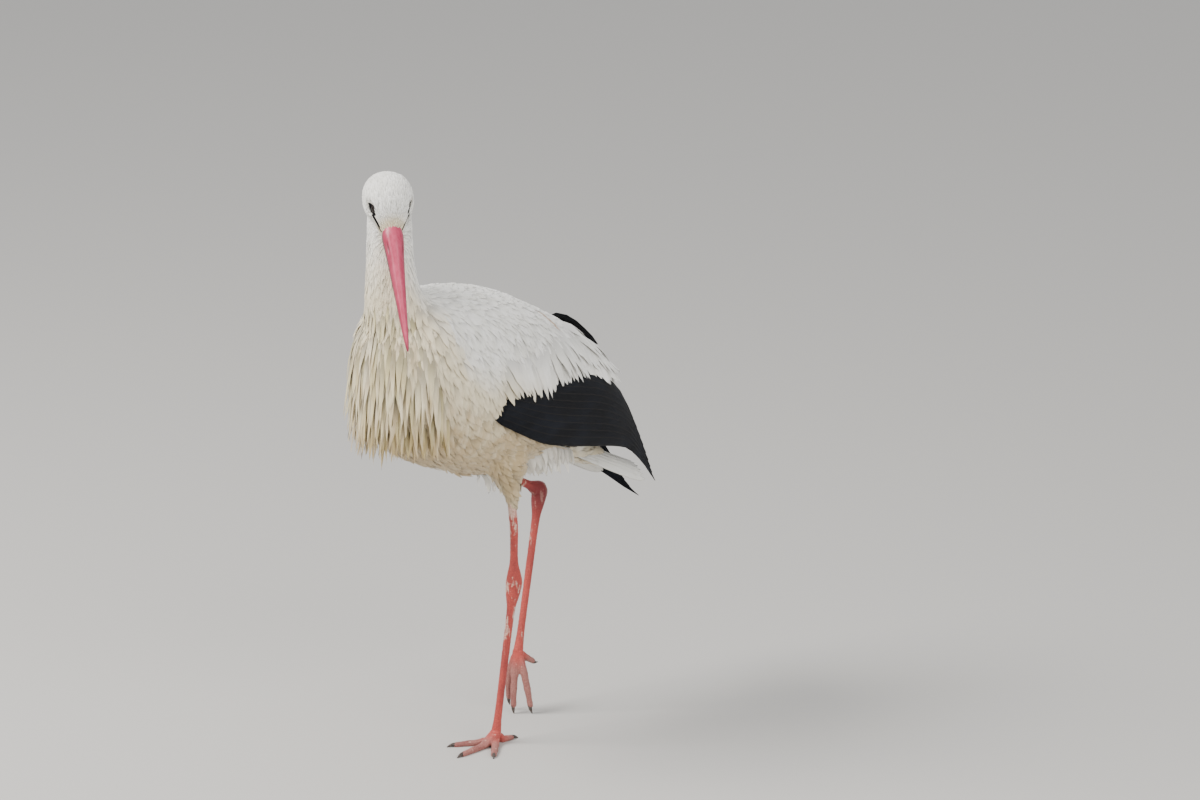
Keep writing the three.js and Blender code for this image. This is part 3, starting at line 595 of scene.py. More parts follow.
def feather_material(name, age=0.0, root_painted_shade=0.86, clean=0.0, golden=0.04):
    """Plumage on vanes: their own map carries the barbs, the shaft and a painted shade at the root, where the
    feathers above cover it.
    """
    material, tree, shader = new_material(name, 0.85, Sheen_Weight=0.3, Specular_IOR_Level=0.25)
    along, side, barbs = vane_place(tree, 46.0, 22.0)
    tint = point_mark(tree, "tint")
    # painted shade: each vane is darker towards its root, where the feathers above it shadow it
    shade = root_painted_shade + (1.0 - root_painted_shade) * along.fade(0.20, 0.70)
    value = shade * (0.86 + 0.14 * tint) * (1.0 + 0.015 * barbs)
    shades = {0: value, 1: value, 2: value * (1.0 - golden + golden * tint)}
    colour = plumage_colour(body_place(tree), age, clean).tinted(Wire.node(tree, "CombineXYZ", None, shades))
    finish(shader, colour, barbs * 0.5 + side.fade(0.07, 0.0), 0.0002, 0.4)
    return material


def eye_line(side):
    """An eye's frame, and the run along it from the eye to the corner of the gape."""
    centre, outwards, ahead, up = eye_frame(side)
    line = in_head(GAPE_CORNER[0], (1 if side == "left" else -1) * GAPE_CORNER[1], GAPE_CORNER[2]) - centre
    return centre, outwards, ahead, up, (float(line @ ahead), float(line @ up))


def bare_face(points):
    """True on the bare black skin round the eyes and on the line from them to the bill."""
    mask = np.zeros(len(points), bool)
    for side in ("left", "right"):
        centre, outwards, ahead, up, (run, rise) = eye_line(side)
        offset = points - centre
        u, v, w = offset @ ahead, offset @ up, offset @ outwards
        patch = (u / BARE_PATCH[0]) ** 2 + np.abs(v / BARE_PATCH[1])
        share = np.clip((u * run + v * rise) / (run**2 + rise**2), 0, 1)
        off_line = np.hypot(u - share * run, v - share * rise)
        mask |= (w > -0.016) & ((patch < 1) | (off_line < BARE_LINE + FEATHER_ROOM))
    return mask


def face_mark(place):
    """The same bare skin, for the shader."""
    marks = []
    for side in ("left", "right"):
        centre, outwards, ahead, up, (run, rise) = eye_line(side)
        offset = place.vector("SUBTRACT", centre)
        u, v, w = (offset.vector("DOT_PRODUCT", axis) for axis in (ahead, up, outwards))
        patch = u * u * (1 / BARE_PATCH[0] ** 2) + abs(v) * (1 / BARE_PATCH[1])
        share = ((u * run + v * rise) * (1 / (run**2 + rise**2))).clamped()
        off_u, off_v = u - share * run, v - share * rise
        off_line = (off_u * off_u + off_v * off_v) ** 0.5
        shape = patch.fade(1.15, 0.90).math("MAXIMUM", off_line.fade(BARE_LINE + 0.0002, BARE_LINE - 0.0003))
        marks.append(shape * w.fade(-0.016, -0.013))
    return sum(marks).clamped()


def dark_wing(points):
    """1 under the dark quills of a folded wing."""
    x, y, z = points.T
    over = (z > wing_section(y)[1] - 0.004) & (z < border_z(y) - 0.004)
    return ((np.abs(x) > 0.030) & over & (y > WING_FROM)).astype(float)


skin_material, tree, shader = new_material("plumage_ground", 0.9, Specular_IOR_Level=0.2)
place = body_place(tree)
# the skin carries a painted shade, as it lies in the shadow between the feathers
ground = plumage_colour(place, 0.05, point_mark(tree, "covered")).tinted(GROUND_PAINTED_SHADE)
bare_mark = point_mark(tree, "dark").math("MAXIMUM", face_mark(place))
finish(shader, bare_mark.mix(ground, QUILL_BLACK), noise(place, 260.0, 2.0, (1, 1, 0.3)), 0.0010, 0.5)
skin.data.materials.append(skin_material)

# ---------------------------------------------------------------- the lie of the coat
# Feathers run back from the bill over the head, down the neck, back along the mantle, down over the
# wings and the breast, and back under the belly. Guides give the direction at places on the body.

UP = np.array([0, 0, 1.0])
# place, direction, how far it reaches; those beside the middle hold for both sides
GUIDES = [
    ((0, -0.190, 0.700), (0, 0, -1), 0.05), ((0, -0.200, 0.650), (0, -0.1, -1), 0.06),
    ((0, -0.225, 0.560), (0, 0, -1), 0.07), ((0, -0.225, 0.470), (0, 0.1, -1), 0.07),
    ((0, -0.150, 0.660), (0, 0.8, -0.6), 0.03), ((0, -0.080, 0.665), (0, 1, 0), 0.05),
    ((0, 0.050, 0.620), (0, 1, -0.2), 0.07), ((0, 0.150, 0.560), (0, 1, -0.5), 0.07),
    ((0.070, -0.170, 0.590), (0.1, 0.15, -1), 0.05), ((0.095, -0.120, 0.560), (0, 0.30, -1), 0.05),
    ((0.090, -0.080, 0.610), (0.2, 0.35, -0.9), 0.05), ((0.080, 0.020, 0.590), (0.2, 0.35, -0.9), 0.05),
    ((0.100, -0.020, 0.530), (0, 0.16, -1), 0.06), ((0.095, 0.080, 0.520), (0, 0.18, -1), 0.06),
    ((0.080, 0.170, 0.500), (0, 0.38, -1), 0.06), ((0.060, 0.220, 0.470), (0, 0.60, -1), 0.05),
    ((0.100, -0.110, 0.480), (0, 0.45, -0.9), 0.06), ((0.100, -0.050, 0.440), (0, 0.85, -0.55), 0.06),
    ((0.080, -0.080, 0.405), (-0.2, 0.95, -0.25), 0.06), ((0, -0.120, 0.400), (0, 1, 0.05), 0.07),
    ((0, 0.020, 0.375), (0, 1, 0.05), 0.07), ((0.060, 0.050, 0.395), (0, 1, -0.15), 0.05),
    ((0.030, 0.160, 0.370), (0, 1, -0.2), 0.06), ((0.020, 0.250, 0.340), (0, 1, -0.3), 0.06),
]
THIGH_GUIDES = [((0.050, 0.000, 0.350), (0, 0.1, -1), 0.035), ((-0.051, 0.080, 0.350), (0, 0.6, -0.4), 0.035)]
NEAR_BILL, ABOVE_BILL = (0.105, 0.060), (-0.034, -0.012)  # where feathers point away from the bill instead
# limits of the parts of the coat, along y and z unless they say otherwise
COVERTS_Y = (-0.150, 0.262)
MANTLE_HALF, MANTLE_OVER = 0.055, 0.045  # half width, and height over the notches
BREAST_TURN, BREAST_Z, BREAST_END = 80, (0.432, 0.660), -0.110  # degrees round from the front, z, y
NECK_FROM, NECK_END, HEAD_FROM = 0.640, -0.120, 0.735
THIGH_X, THIGH_HALF, THIGH_Y, THIGH_BELOW = 0.050, 0.030, (-0.055, 0.105), 0.378
VENT_FROM, VENT_BELOW, VENT_OVER = 0.075, 0.415, 0.020  # the last over the wing's lower edge

guides = []
for (x, y, z), (way_x, way_y, way_z), reach in GUIDES:
    for flip in ((1, -1) if x > 0 else (1,)):
        guides.append(((x * flip, y, z), (way_x * flip, way_y, way_z), reach))
guide_places, guide_ways, guide_reach = (np.array(column, float) for column in zip(*guides, *THIGH_GUIDES))
guide_ways = unit(guide_ways)
bill_base = in_head(0.052, 0, -0.004)
breast_at = smooth(BREAST)


def lie(points, normals):
    """Unit direction of the coat at points of the skin, square to the normals."""
    gap = np.linalg.norm(points[:, None] - guide_places, axis=2)
    weight = np.exp(-((gap / guide_reach) ** 2)) + 1e-6 / (gap + 0.01)
    way = unit(weight @ guide_ways)
    from_bill = points - bill_base
    far = np.linalg.norm(from_bill, axis=1)
    on_head = (step(far, *NEAR_BILL) * step(from_bill @ crown_line, *ABOVE_BILL))[:, None]
    way = way * (1 - on_head) + unit(from_bill) * on_head
    return unit(way - normals * np.sum(way * normals, axis=1, keepdims=True))


def breast_turn(points):
    """Degrees round the breast from its middle line."""
    return np.abs(np.degrees(np.arctan2(points[:, 0], breast_at(points[:, 2])[:, 0] - points[:, 1])))


def within(values, span):
    return (values > span[0]) & (values < span[1])


def in_region(points):
    """Name of the coat piece that a root on the skin belongs to, or nothing where no feather grows."""
    x, y, z = points.T
    low, edge = wing_section(y)[1], border_z(y)
    region = np.full(len(points), "flank", dtype=object)
    wing = (z > edge - 0.002) & within(y, COVERTS_Y)
    region[wing] = "scapulars"
    region[wing & (np.abs(x) < MANTLE_HALF) & (z > edge + MANTLE_OVER)] = "mantle"
    region[(breast_turn(points) < BREAST_TURN) & within(z, BREAST_Z) & (y < BREAST_END)] = "breast"
    region[(z > NECK_FROM) & (y < NECK_END)] = "neck"
    region[z > HEAD_FROM] = "head"
    beside = np.abs(np.abs(x) - THIGH_X) < THIGH_HALF
    region[beside & within(y, THIGH_Y) & (z < THIGH_BELOW)] = "thighs"
    region[(y > VENT_FROM) & (z < VENT_BELOW) & (z < low + VENT_OVER)] = "vent"
    region[dark_wing(points) > 0] = ""
    region[(region == "flank") & (y > WING_FROM) & (z > low + 0.002)] = ""
    return region


mark_points(skin, dark=dark_wing(skin_points),
            covered=np.isin(in_region(skin_points), ["mantle", "scapulars", "head"]))
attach(skin, "root")
centres = skin_points[skin_triangles].mean(1)
regions = in_region(centres)

# ---------------------------------------------------------------- feather coat
# Each feather is a thin closed vane over the skin: narrow at its root, laid along the coat, slightly
# ridged along its shaft and lifted a little towards its tip. Long plumes hang free over the breast.

rng = np.random.default_rng(7)
# spacing, length, width, lift of the tip, sharpness of the tip, part of it that hangs free, disorder
COAT = {
    "head": (0.0020, 0.0105, 0.0032, 0.0009, 1.0, 0.0, 0.09),
    "neck": (0.0030, 0.0270, 0.0049, 0.0017, 1.3, 0.0, 0.11),
    "breast": (0.0054, 0.0420, 0.0100, 0.0046, 1.4, 0.0, 0.16),
    "mantle": (0.0048, 0.0280, 0.0105, 0.0026, 0.9, 0.0, 0.12),
    "scapulars": (0.0048, 0.0370, 0.0108, 0.0030, 1.3, 0.0, 0.11),
    "flank": (0.0054, 0.0380, 0.0120, 0.0056, 1.2, 0.0, 0.26),
    "thighs": (0.0040, 0.0200, 0.0066, 0.0024, 1.2, 0.0, 0.12),
    "vent": (0.0060, 0.0400, 0.0100, 0.0060, 1.2, 0.15, 0.26),
}
# the same for the plumes that hang over the breast, the long pointed coverts over the dark quills,
# the small points over the bill's base, and the loose tufts behind the thighs
BIB = (0.0080, 0.0780, 0.0098, 0.0110, 1.7, 0.70, 0.13)
TIPS = (0.0105, 0.0500, 0.0190, 0.0080, 1.25, 0.72, 0.05)
FOREHEAD = (0.0025, 0.0110, 0.0032, 0.0046, 1.5, 0.62, 0.10)
TUFT = (0.0064, 0.0480, 0.0125, 0.0080, 1.3, 0.70, 0.30)
BIB_TIP = 0.437  # height that the lowest plumes reach
TIP_ROWS = (0.050, 0.038, 0.026, 0.015)  # how far above their notches the rows of those coverts are rooted
TIP_SPAN, TIP_LIFT = (-0.074, 0.222), 0.0060  # y of the rows, and how much more they stand up at the rear
TIP_REACH = (0.016, 0.025)  # how far below their notches they end
POINT_ROWS, POINTS_AROUND = (0.0370, 0.0395, 0.0420), 34  # the small points: rows ahead on the head
# where the plumes of the bib and the tufts are rooted: degrees round from the front, x, y and z
BIB_TURN, BIB_Z, BIB_END = 64, (0.478, 0.650), -0.150
TUFT_Y, TUFT_BELOW, TUFT_HALF = (0.045, 0.092), 0.412, 0.062
VANE_ROWS = 7
LENGTHS, WIDTHS, LIFTS = (0.78, 1.18), (0.80, 1.15), (0.45, 1.30)  # range round a part's own sizes
ROOT_HEIGHT, SHAFT_HEIGHT = 0.0003, 0.00022
VANE_RIDGE, VANE_CUP = 0.07, 0.12  # rise of the shaft and fall of the rims, in half widths
VANE_BEND, VANE_FRAY, VANE_SLANT = 0.05, 0.09, 0.03  # disorder of shafts, rims and tips
FOLLOW = 0.25  # how readily a vane turns with the lie of the coat under it
PATCH = 0.003  # size of a feather's patch on the skin's map


def vane_width(share, sharp):
    """Half width of a vane along its length, as a part of its full half width."""
    return np.clip(0.30 + 2.6 * share, 0, 1) * np.clip(1 - share ** (3.2 / sharp), 0.03, 1) ** (0.55 * sharp)


def scattered(where, spacing):
    """Random places on the skin, no nearer to each other than the spacing, on the triangles that are true."""
    corners = skin_points[skin_triangles]
    area = np.linalg.norm(np.cross(corners[:, 1] - corners[:, 0], corners[:, 2] - corners[:, 0]), axis=1) / 2
    share = area * where
    count = int(share.sum() / spacing**2 * 3.0)
    chosen = rng.choice(len(share), count, p=share / share.sum())
    a, b = rng.random(count), rng.random(count)
    turned = a + b > 1
    a[turned], b[turned] = 1 - a[turned], 1 - b[turned]
    bary = np.column_stack([1 - a - b, a, b])
    places = np.einsum("ij,ijk->ik", bary, corners[chosen])
    maps = np.einsum("ij,ijk->ik", bary, loop_map[triangle_loops[chosen]])
    taken, kept = {}, []
    cells = np.floor(places / spacing).astype(int)
    near = [(i, j, k) for i in (-1, 0, 1) for j in (-1, 0, 1) for k in (-1, 0, 1)]
    limit = (spacing * 0.86) ** 2
    for index, (cell, spot) in enumerate(zip(map(tuple, cells), places)):
        around = (taken.get((cell[0] + i, cell[1] + j, cell[2] + k)) for i, j, k in near)
        if all(other is None or ((places[other] - spot) ** 2).sum() > limit for other in around):
            taken[cell] = index
            kept.append(index)
    return places[kept], maps[kept]


def on_skin(points):
    """Nearest places on the skin, the normals there and the triangles they are on."""
    hits = [skin_tree.find_nearest(Vector(point))[:3] for point in points]
    places, normals, triangles = zip(*hits)
    return np.array(places), np.array(normals), list(triangles)


def on_map(points):
    """Nearest places on the skin, and where they are on its map."""
    places, _, index = on_skin(points)
    near = 1 / (np.linalg.norm(skin_points[skin_triangles[index]] - places[:, None], axis=2) + 1e-5)
    near = near / near.sum(1, keepdims=True)
    return places, np.einsum("ij,ijk->ik", near, loop_map[triangle_loops[index]])


def clear_face(roots):
    """True where a feather on the head would not lie over the bare skin of the face."""
    away = unit(roots - bill_base)
    return sum(bare_face(roots + away * run) for run in (0.0, 0.002, 0.004, 0.006)) == 0


def through_wing(points):
    """True where a place is in or beyond the dark quills of a folded wing."""
    x, y, z = np.moveaxis(points, -1, 0)
    z = z + wing_droop(y, x < 0)
    upper, lower, half = wing_section(y)
    rise = np.clip((z - lower) / (upper - lower), 0, 1)
    beside = np.abs(x) > half * np.sqrt(1 - rise**2) - 0.005
    return (y > -0.080) & (z > lower - 0.002) & (z < border_z(y)) & beside


def lay_maps(piece, flat, own):
    """The piece's place on the baking map, and its vanes' own map."""
    for name, places in (("OFBake", flat), ("Vane", own)):
        piece.data.uv_layers.new(name=name).data.foreach_set("uv", np.asarray(places, np.float32).ravel())


def vanes(name, roots, maps, spec, material, slot, settle=None, flow=lie, fall=0.55, inside=False):
    """A coat piece: a closed vane for each root; inside drops those that would pass through a wing."""
    _, length, width, lift, sharp, free, mess = spec
    count = len(roots)
    place, normal, _ = on_skin(roots)
    way = flow(place, normal)
    swing = rng.normal(0, mess, count)[:, None]
    way = unit(way + np.cross(normal, way) * swing)
    lengths = length * rng.uniform(*LENGTHS, count)
    widths = width * rng.uniform(*WIDTHS, count)
    lifts = lift * rng.uniform(*LIFTS, count)
    if settle is not None:
        lengths, widths, lifts = settle(place, lengths, widths, lifts)
    hop = (lengths / (VANE_ROWS - 1))[:, None]
    shares = np.linspace(0, 1, VANE_ROWS)
    stations = []
    here = place.copy()
    for share in shares:
        stations.append((here + normal * (ROOT_HEIGHT + lifts[:, None] * share**0.8), normal, way))
        if share > 1 - free - 1e-6:
            way = unit(way * (1 - fall) - UP * fall)
            here = here + way * hop
            normal = unit(normal - way * np.sum(normal * way, axis=1, keepdims=True))
        else:
            here, normal, _ = on_skin(here + way * hop)
            way = unit(way - normal * np.sum(way * normal, axis=1, keepdims=True))
            way = unit(way * (1 - FOLLOW) + flow(here, normal) * FOLLOW)
    line, up, along = (np.array(rows) for rows in zip(*stations))
    up, along = unit(up), unit(along)
    if inside:
        fine = ~through_wing(line).any(0)
        line, up, along = line[:, fine], up[:, fine], along[:, fine]
        widths, lengths, maps, count = widths[fine], lengths[fine], maps[fine], int(fine.sum())
    beside = unit(np.cross(up, along))
    bend = rng.normal(0, VANE_BEND, count) * lengths
    half = vane_width(shares, sharp)[:, None] * widths / 2
    frayed = rng.normal(0, VANE_FRAY, (2, VANE_ROWS, count)) * half * (shares[:, None] > 0.3)
    line = line + beside * (bend * (shares**2)[:, None])[..., None]
    ridge, cup = VANE_RIDGE * half + SHAFT_HEIGHT, VANE_CUP * half
    ring = np.stack([
        line - beside * (half + frayed[0])[..., None] - up * cup[..., None],
        line + up * ridge[..., None],
        line + beside * (half + frayed[1])[..., None] - up * cup[..., None],
    ], 2)
    slant = rng.normal(0, VANE_SLANT, (VANE_ROWS, count, 3)) * lengths[None, :, None]
    slant = slant * (shares[:, None, None] > 0.5)
    ring = ring + along[:, :, None] * slant[..., None]
    per = VANE_ROWS * 3
    quads = np.array([
        (row + k, row + 3 + k, row + 3 + (k + 1) % 3, row + (k + 1) % 3)
        for row in range(0, per - 3, 3) for k in range(3)
    ])
    ends = np.array([(0, 1, 2), (per - 1, per - 2, per - 3)])
    starts = (np.arange(count) * per)[:, None, None]
    faces = (quads + starts).reshape(-1, 4).tolist() + (ends + starts).reshape(-1, 3).tolist()
    piece = new_piece(name, ring.transpose(1, 0, 2, 3).reshape(-1, 3), faces, material)
    order = np.concatenate([np.tile(quads.ravel(), count), np.tile(ends.ravel(), count)])
    owner = np.concatenate([np.repeat(np.arange(count), quads.size), np.repeat(np.arange(count), ends.size)])
    own = np.stack([(order % 3) / 2, (order // 3) / (VANE_ROWS - 1)], -1)
    lay_maps(piece, maps[owner] + (own - 0.5) * PATCH, own)
    mark_points(piece, tint=np.repeat(rng.random(count), per))
    # the rim of each vane is crisp, so that its top is shaded as a flat blade and not as a bead
    pairs = np.empty(len(piece.data.edges) * 2, int)
    piece.data.edges.foreach_get("vertices", pairs)
    crisp = (pairs.reshape(-1, 2) % 3 != 1).all(1)
    piece.data.attributes.new("sharp_edge", "BOOLEAN", "EDGE").data.foreach_set("value", crisp)
    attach(piece, "root")
    return piece


def settle_head(place, lengths, widths, lifts):
    """The feathers by the bill and the eyes are the shortest."""
    size = 0.50 + 0.65 * step(np.linalg.norm(place - bill_base, axis=1), 0.010, 0.075)
    return lengths * size, widths * (0.15 + 0.85 * size), lifts * size


def grown(measure, span, *growth):
    """Feathers that grow over a span; growth is the factor at its start and what is added by its end."""
    def settle(place, *sizes):
        share = step(measure(place), *span)
        return [size * (start + more * share) for size, (start, more) in zip(sizes, growth)]

    return settle


def height(place):
    return place[:, 2]


def over_notches(place):
    return place[:, 2] - border_z(place[:, 1])


def settle_bib(place, lengths, widths, lifts):
    """Plumes end in the air in front of the belly, in a ragged line."""
    room = place[:, 2] - BIB_TIP + rng.normal(0, 0.006, len(place))
    size = step(place[:, 2], 0.650, 0.560)
    lengths = np.minimum(lengths * (0.55 + 0.5 * size), room * 1.05)
    return lengths, widths * (0.7 + 0.3 * size), lifts * (0.4 + 0.6 * size)


def settle_tips(place, lengths, widths, lifts):
    """Every row ends close below the notches, in even points."""
    x, y, z = place.T
    over = z - border_z(y) + wing_droop(y, x < 0)
    reach = rng.uniform(*TIP_REACH, len(over)) * (0.45 + 0.55 * step(y, -0.080, -0.030))
    reach = reach * (1 + 0.4 * step(y, 0.085, 0.150)) * (1 - 0.6 * step(y, 0.165, 0.205))
    return np.clip(over + reach, 0.016, 0.09), widths, lifts + TIP_LIFT * step(y, 0.080, 0.150)


def towards_bill(points, normals):
    return unit(bill_line - normals * (normals @ bill_line)[:, None])


# longer down the neck and the breast; the lowest white row is the longest and hangs over the quills in points
SETTLE = {
    "head": settle_head,
    "neck": grown(height, (0.740, 0.640), (0.60, 0.6), (0.75, 0.35), (0.5, 0.6)),
    "breast": grown(height, (0.640, 0.500), (0.60, 0.5), (0.70, 0.3), (0.6, 0.5)),
    "scapulars": grown(over_notches, (0.030, 0.004), (0.80, 0.40), (0.85, 0.30), (1, -0.2)),
}
white_feather = feather_material("white_feather", -0.03, 0.70, 0.80)
cream_feather = feather_material("cream_feather", 0.08, 0.62)
# the bib's plumes carry the deepest painted shade towards their roots, in the gaps between them
plume = feather_material("cream_plume", -0.05, 0.46, 0.0, 0.22)
for region, spec in COAT.items():
    roots, maps = scattered(regions == region, spec[0])
    if region in ("head", "neck"):
        clear = clear_face(roots)
        roots, maps = roots[clear], maps[clear]
    white = region in ("head", "mantle", "scapulars")
    material, slot = (white_feather, "white_plumage") if white else (cream_feather, "cream_plumage")
    under = region in ("flank", "thighs", "vent")
    vanes(f"{region}_coat", roots, maps, spec, material, slot, SETTLE.get(region), inside=under)

x, y, z = centres.T
ruff = (breast_turn(centres) < BIB_TURN) & within(z, BIB_Z) & (y < BIB_END)
vanes("bib_plumes", *scattered(ruff, BIB[0]), BIB, plume, "cream_plumage", settle_bib)

roots = []
for row, above in enumerate(TIP_ROWS):
    for here in np.arange(*TIP_SPAN, TIPS[0]) + (row % 2) * TIPS[0] / 2:
        across = across_at(here, border_z(here) + above)
        sides = ("left",) if here > 0.110 and across < 0.40 else ("left", "right")
        if across > 0.02:
            roots += [wing_point(side, here, across) for side in sides]
vanes("covert_tips", *on_map(roots), TIPS, white_feather, "white_plumage", settle_tips, fall=0.12)

angles = np.linspace(0, 2 * math.pi, POINTS_AROUND, endpoint=False)
roots = [in_head(ahead + 0.0060 * math.cos(a) ** 2, 0.0150 * math.cos(a), -0.005 + 0.0130 * math.sin(a))
         for ahead in POINT_ROWS for a in angles + ahead * 900]
vanes("forehead_points", *on_map(roots), FOREHEAD, white_feather, "white_plumage",
      flow=towards_bill, fall=0.0)

behind = within(y, TUFT_Y) & (z < TUFT_BELOW) & (np.abs(x) < TUFT_HALF)
vanes("thigh_tufts", *scattered(behind, TUFT[0]), TUFT, white_feather, "white_plumage",
      fall=0.38, inside=True)
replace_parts(skin, "head", "neck", "trunk", "thigh_left", "thigh_right", "breast_bib", "mantle",
            "wing_left_coverts", "wing_right_coverts", "vent_plumes")

# ---------------------------------------------------------------- dark quills of the wings
# Primaries and secondaries of each folded wing: stiff black vanes on raised dark shafts, stacked like
# a closed fan under the white coverts, the innermost on top, with their tips stepping down the rear.

QUILLS = 16
QUILL_ROWS = 22
QUILL_ACROSS = (0.0, 0.16, 0.34, 0.46, 0.50, 0.54, 0.66, 0.84, 1.0)
QUILL_WIDTH, QUILL_RIDGE, QUILL_THICKNESS = 0.030, 0.0009, 0.0007
QUILL_ROLL = 0.085  # slope across a quill, down towards the lower edge of the wing
QUILL_SUNK = 0.004  # depth of the hidden part of a quill under the skin of the wing
QUILL_STACK = 0.0042  # from the lowest quill of the fan to the top one
QUILL_CLEAR = 0.0008  # from the skin of the wing to the lowest of them
# height over the notches where a quill starts to come out of the skin, and drop until it is all out
QUILL_OVER, QUILL_BARE = 0.004, 0.018
TERTIAL_RISE = 0.032  # the innermost feathers of the right wing stand off the back
TERTIAL_OUT, TERTIAL_BEND = (0.62, 0.78), (0.56, 0.86)  # share along where they come out, where they rise
LOOSE_TERTIALS, LOOSE_INWARD = 0.35, 0.08  # share of the fan that does, and how far its tips lean in
# y and share across the wing, from the innermost quill to the outermost, and how they are spaced
QUILL_ROOTS = ((-0.040, 0.46), (-0.100, 0.99), 0.9)
QUILL_TIPS = ((0.222, 0.10), (0.346, 0.86), 0.8)
# painted sheen: a lighter blue-black laid in patches by noise over the black
QUILL_PAINTED_SHEEN = (0.010, 0.012, 0.018, 1)
PALE_RIM = (0.042, 0.040, 0.041, 1)
SHAFT_DARK = (0.018, 0.016, 0.015, 1)

quill_material, tree, shader = new_material("black_quill", 0.55, Specular_IOR_Level=0.09)
along, side, barbs = vane_place(tree, 150.0, 90.0)
smoke = noise(body_place(tree), 38.0, 4.0, (1, 0.35, 1))
# lighter towards the rim of each quill, in patches by noise
worn = (side.fade(0.42, 0.49) * smoke.fade(0.38, 0.62) * 0.8).clamped()
# painted sheen in patches over the black quills
edge = worn.mix(smoke.fade(0.35, 0.75).mix(QUILL_BLACK, QUILL_PAINTED_SHEEN), PALE_RIM)
relief = barbs * 0.4 + side.fade(0.03, 0.0) * 1.5 + smoke * 0.5
finish(shader, side.fade(0.022, 0.008).mix(edge, SHAFT_DARK), relief, 0.0004, 0.55)
tree.links.new((0.42 + 0.20 * smoke).socket, shader.inputs["Roughness"])


def quill(line, up, widths, roll=0.0):
    """A stiff closed vane along a line: points of its rows, with a raised shaft and a thin edge."""
    along = unit(np.gradient(line, axis=0))
    beside = unit(np.cross(up, along))
    share = np.array(QUILL_ACROSS) - 0.5
    crest = np.where(np.abs(share) < 0.02, QUILL_RIDGE, 0.00035 + 0.0010 * (0.25 - share**2))
    sag = 0.05 * (2 * share) ** 2
    top = line[:, None] + beside[:, None] * (share * widths[:, None])[..., None]
    top = top + up[:, None] * (crest + (roll * share - sag) * widths[:, None])[..., None]
    low = top[:, ::-1][:, 1:-1] - up[:, None] * QUILL_THICKNESS
    return np.concatenate([top, low], 1)


def quill_piece(name, bodies, material):
    """Quills joined in one piece; each has a strip of its own on the baking map."""
    rows, ring = bodies[0].shape[:2]
    faces_of_one = [
        (r + k, r + ring + k, r + ring + (k + 1) % ring, r + (k + 1) % ring)
        for r in range(0, (rows - 1) * ring, ring) for k in range(ring)
    ]
    faces_of_one += [tuple(range(ring)), tuple(range(rows * ring - 1, (rows - 1) * ring - 1, -1))]
    piece = new_piece(name, *joined([(body.reshape(-1, 3), faces_of_one) for body in bodies]), material)
    row, k = np.divmod([i for face in faces_of_one for i in face], ring)
    across = np.array([*QUILL_ACROSS, *QUILL_ACROSS[-2:0:-1]])[k]
    under = np.where(k >= len(QUILL_ACROSS), 0.5, 0.0)
    flat = [
        np.stack([(b + 0.08 + 0.40 * across + under) / len(bodies), 0.02 + 0.96 * row / (rows - 1)], -1)
        for b in range(len(bodies))
    ]
    lay_maps(piece, flat, np.tile(np.stack([across, row / (rows - 1)], -1), (len(bodies), 1)))
    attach(piece, "root")
    return piece


def wing_normal(side, y, across):
    small = 1e-3
    by_y = wing_point(side, y + small, across) - wing_point(side, y - small, across)
    by_across = wing_point(side, y, across + small) - wing_point(side, y, across - small)
    return unit(np.cross(by_y, by_across)) * (1 if side == "right" else -1)


run = np.linspace(0, 1, QUILL_ROWS)
for side in ("left", "right"):
    right = side == "right"
    bodies = []
    for share in np.linspace(0, 1, QUILLS):
        (root_y, root_a), (tip_y, tip_a) = (
            tuple(a + (b - a) * share**power for a, b in zip(inner, outer))
            for inner, outer, power in (QUILL_ROOTS, QUILL_TIPS)
        )
        tip_a = tip_a - LOOSE_INWARD * (1 - share) ** 3 * right
        y = root_y + (tip_y - root_y) * run
        a = root_a + (tip_a - root_a) * run**1.25
        up = wing_normal(side, y, a)
        surface = wing_point(side, y, a)
        above = QUILL_CLEAR + QUILL_STACK * (1 - share)
        bare = step(border_z(y) + QUILL_OVER - surface[:, 2] - wing_droop(y, right), 0.0, QUILL_BARE)
        if right:
            bare = np.maximum(bare, step(run, *TERTIAL_OUT) * (share < LOOSE_TERTIALS))
            above = above + TERTIAL_RISE * (1 - share) ** 1.8 * step(run, *TERTIAL_BEND)
        hide, hide_up, _ = on_skin(surface)
        bare = bare[:, None]
        line = surface + up * np.reshape(above, (-1, 1))
        line = line * bare + (hide - hide_up * QUILL_SUNK) * (1 - bare)
        up = unit(up * bare + hide_up * (1 - bare))
        profile = np.clip(0.45 + 2.2 * run, 0, 1) * np.sqrt(np.clip(1 - run**7, 0.004, 1))
        taper = (1 - 0.35 * share * run) * (1 - 0.45 * step(y, 0.20, 0.34))
        widths = QUILL_WIDTH * profile * taper * (0.45 + 0.55 * bare[:, 0])
        bodies.append(quill(line, up, widths, -QUILL_ROLL if right else QUILL_ROLL))
    fan = quill_piece(f"quills_{side}", bodies, quill_material)
    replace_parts(fan, f"wing_{side}_flight")

# ---------------------------------------------------------------- tail
# Twelve white tail feathers in a closed fan, laid over each other from the middle outwards: stiff
# vanes on raised shafts like the quills, rooted in the rump behind the folded wings.

TAIL_ROOT_Y, TAIL_ROOT_Z, TAIL_LENGTH, TAIL_DROP = 0.120, 0.406, 0.204, math.radians(23.5)
TAIL_HALF = (0.016, 0.036)  # half width of the fan at its root and at its tip
TAIL_FEATHERS = 12
TAIL_ARCH, TAIL_SHIFT, TAIL_STACK = 0.020, 0.006, 0.0030  # drop of the sides, lean to the left, height
TAIL_FEATHER_WIDTH = 0.024

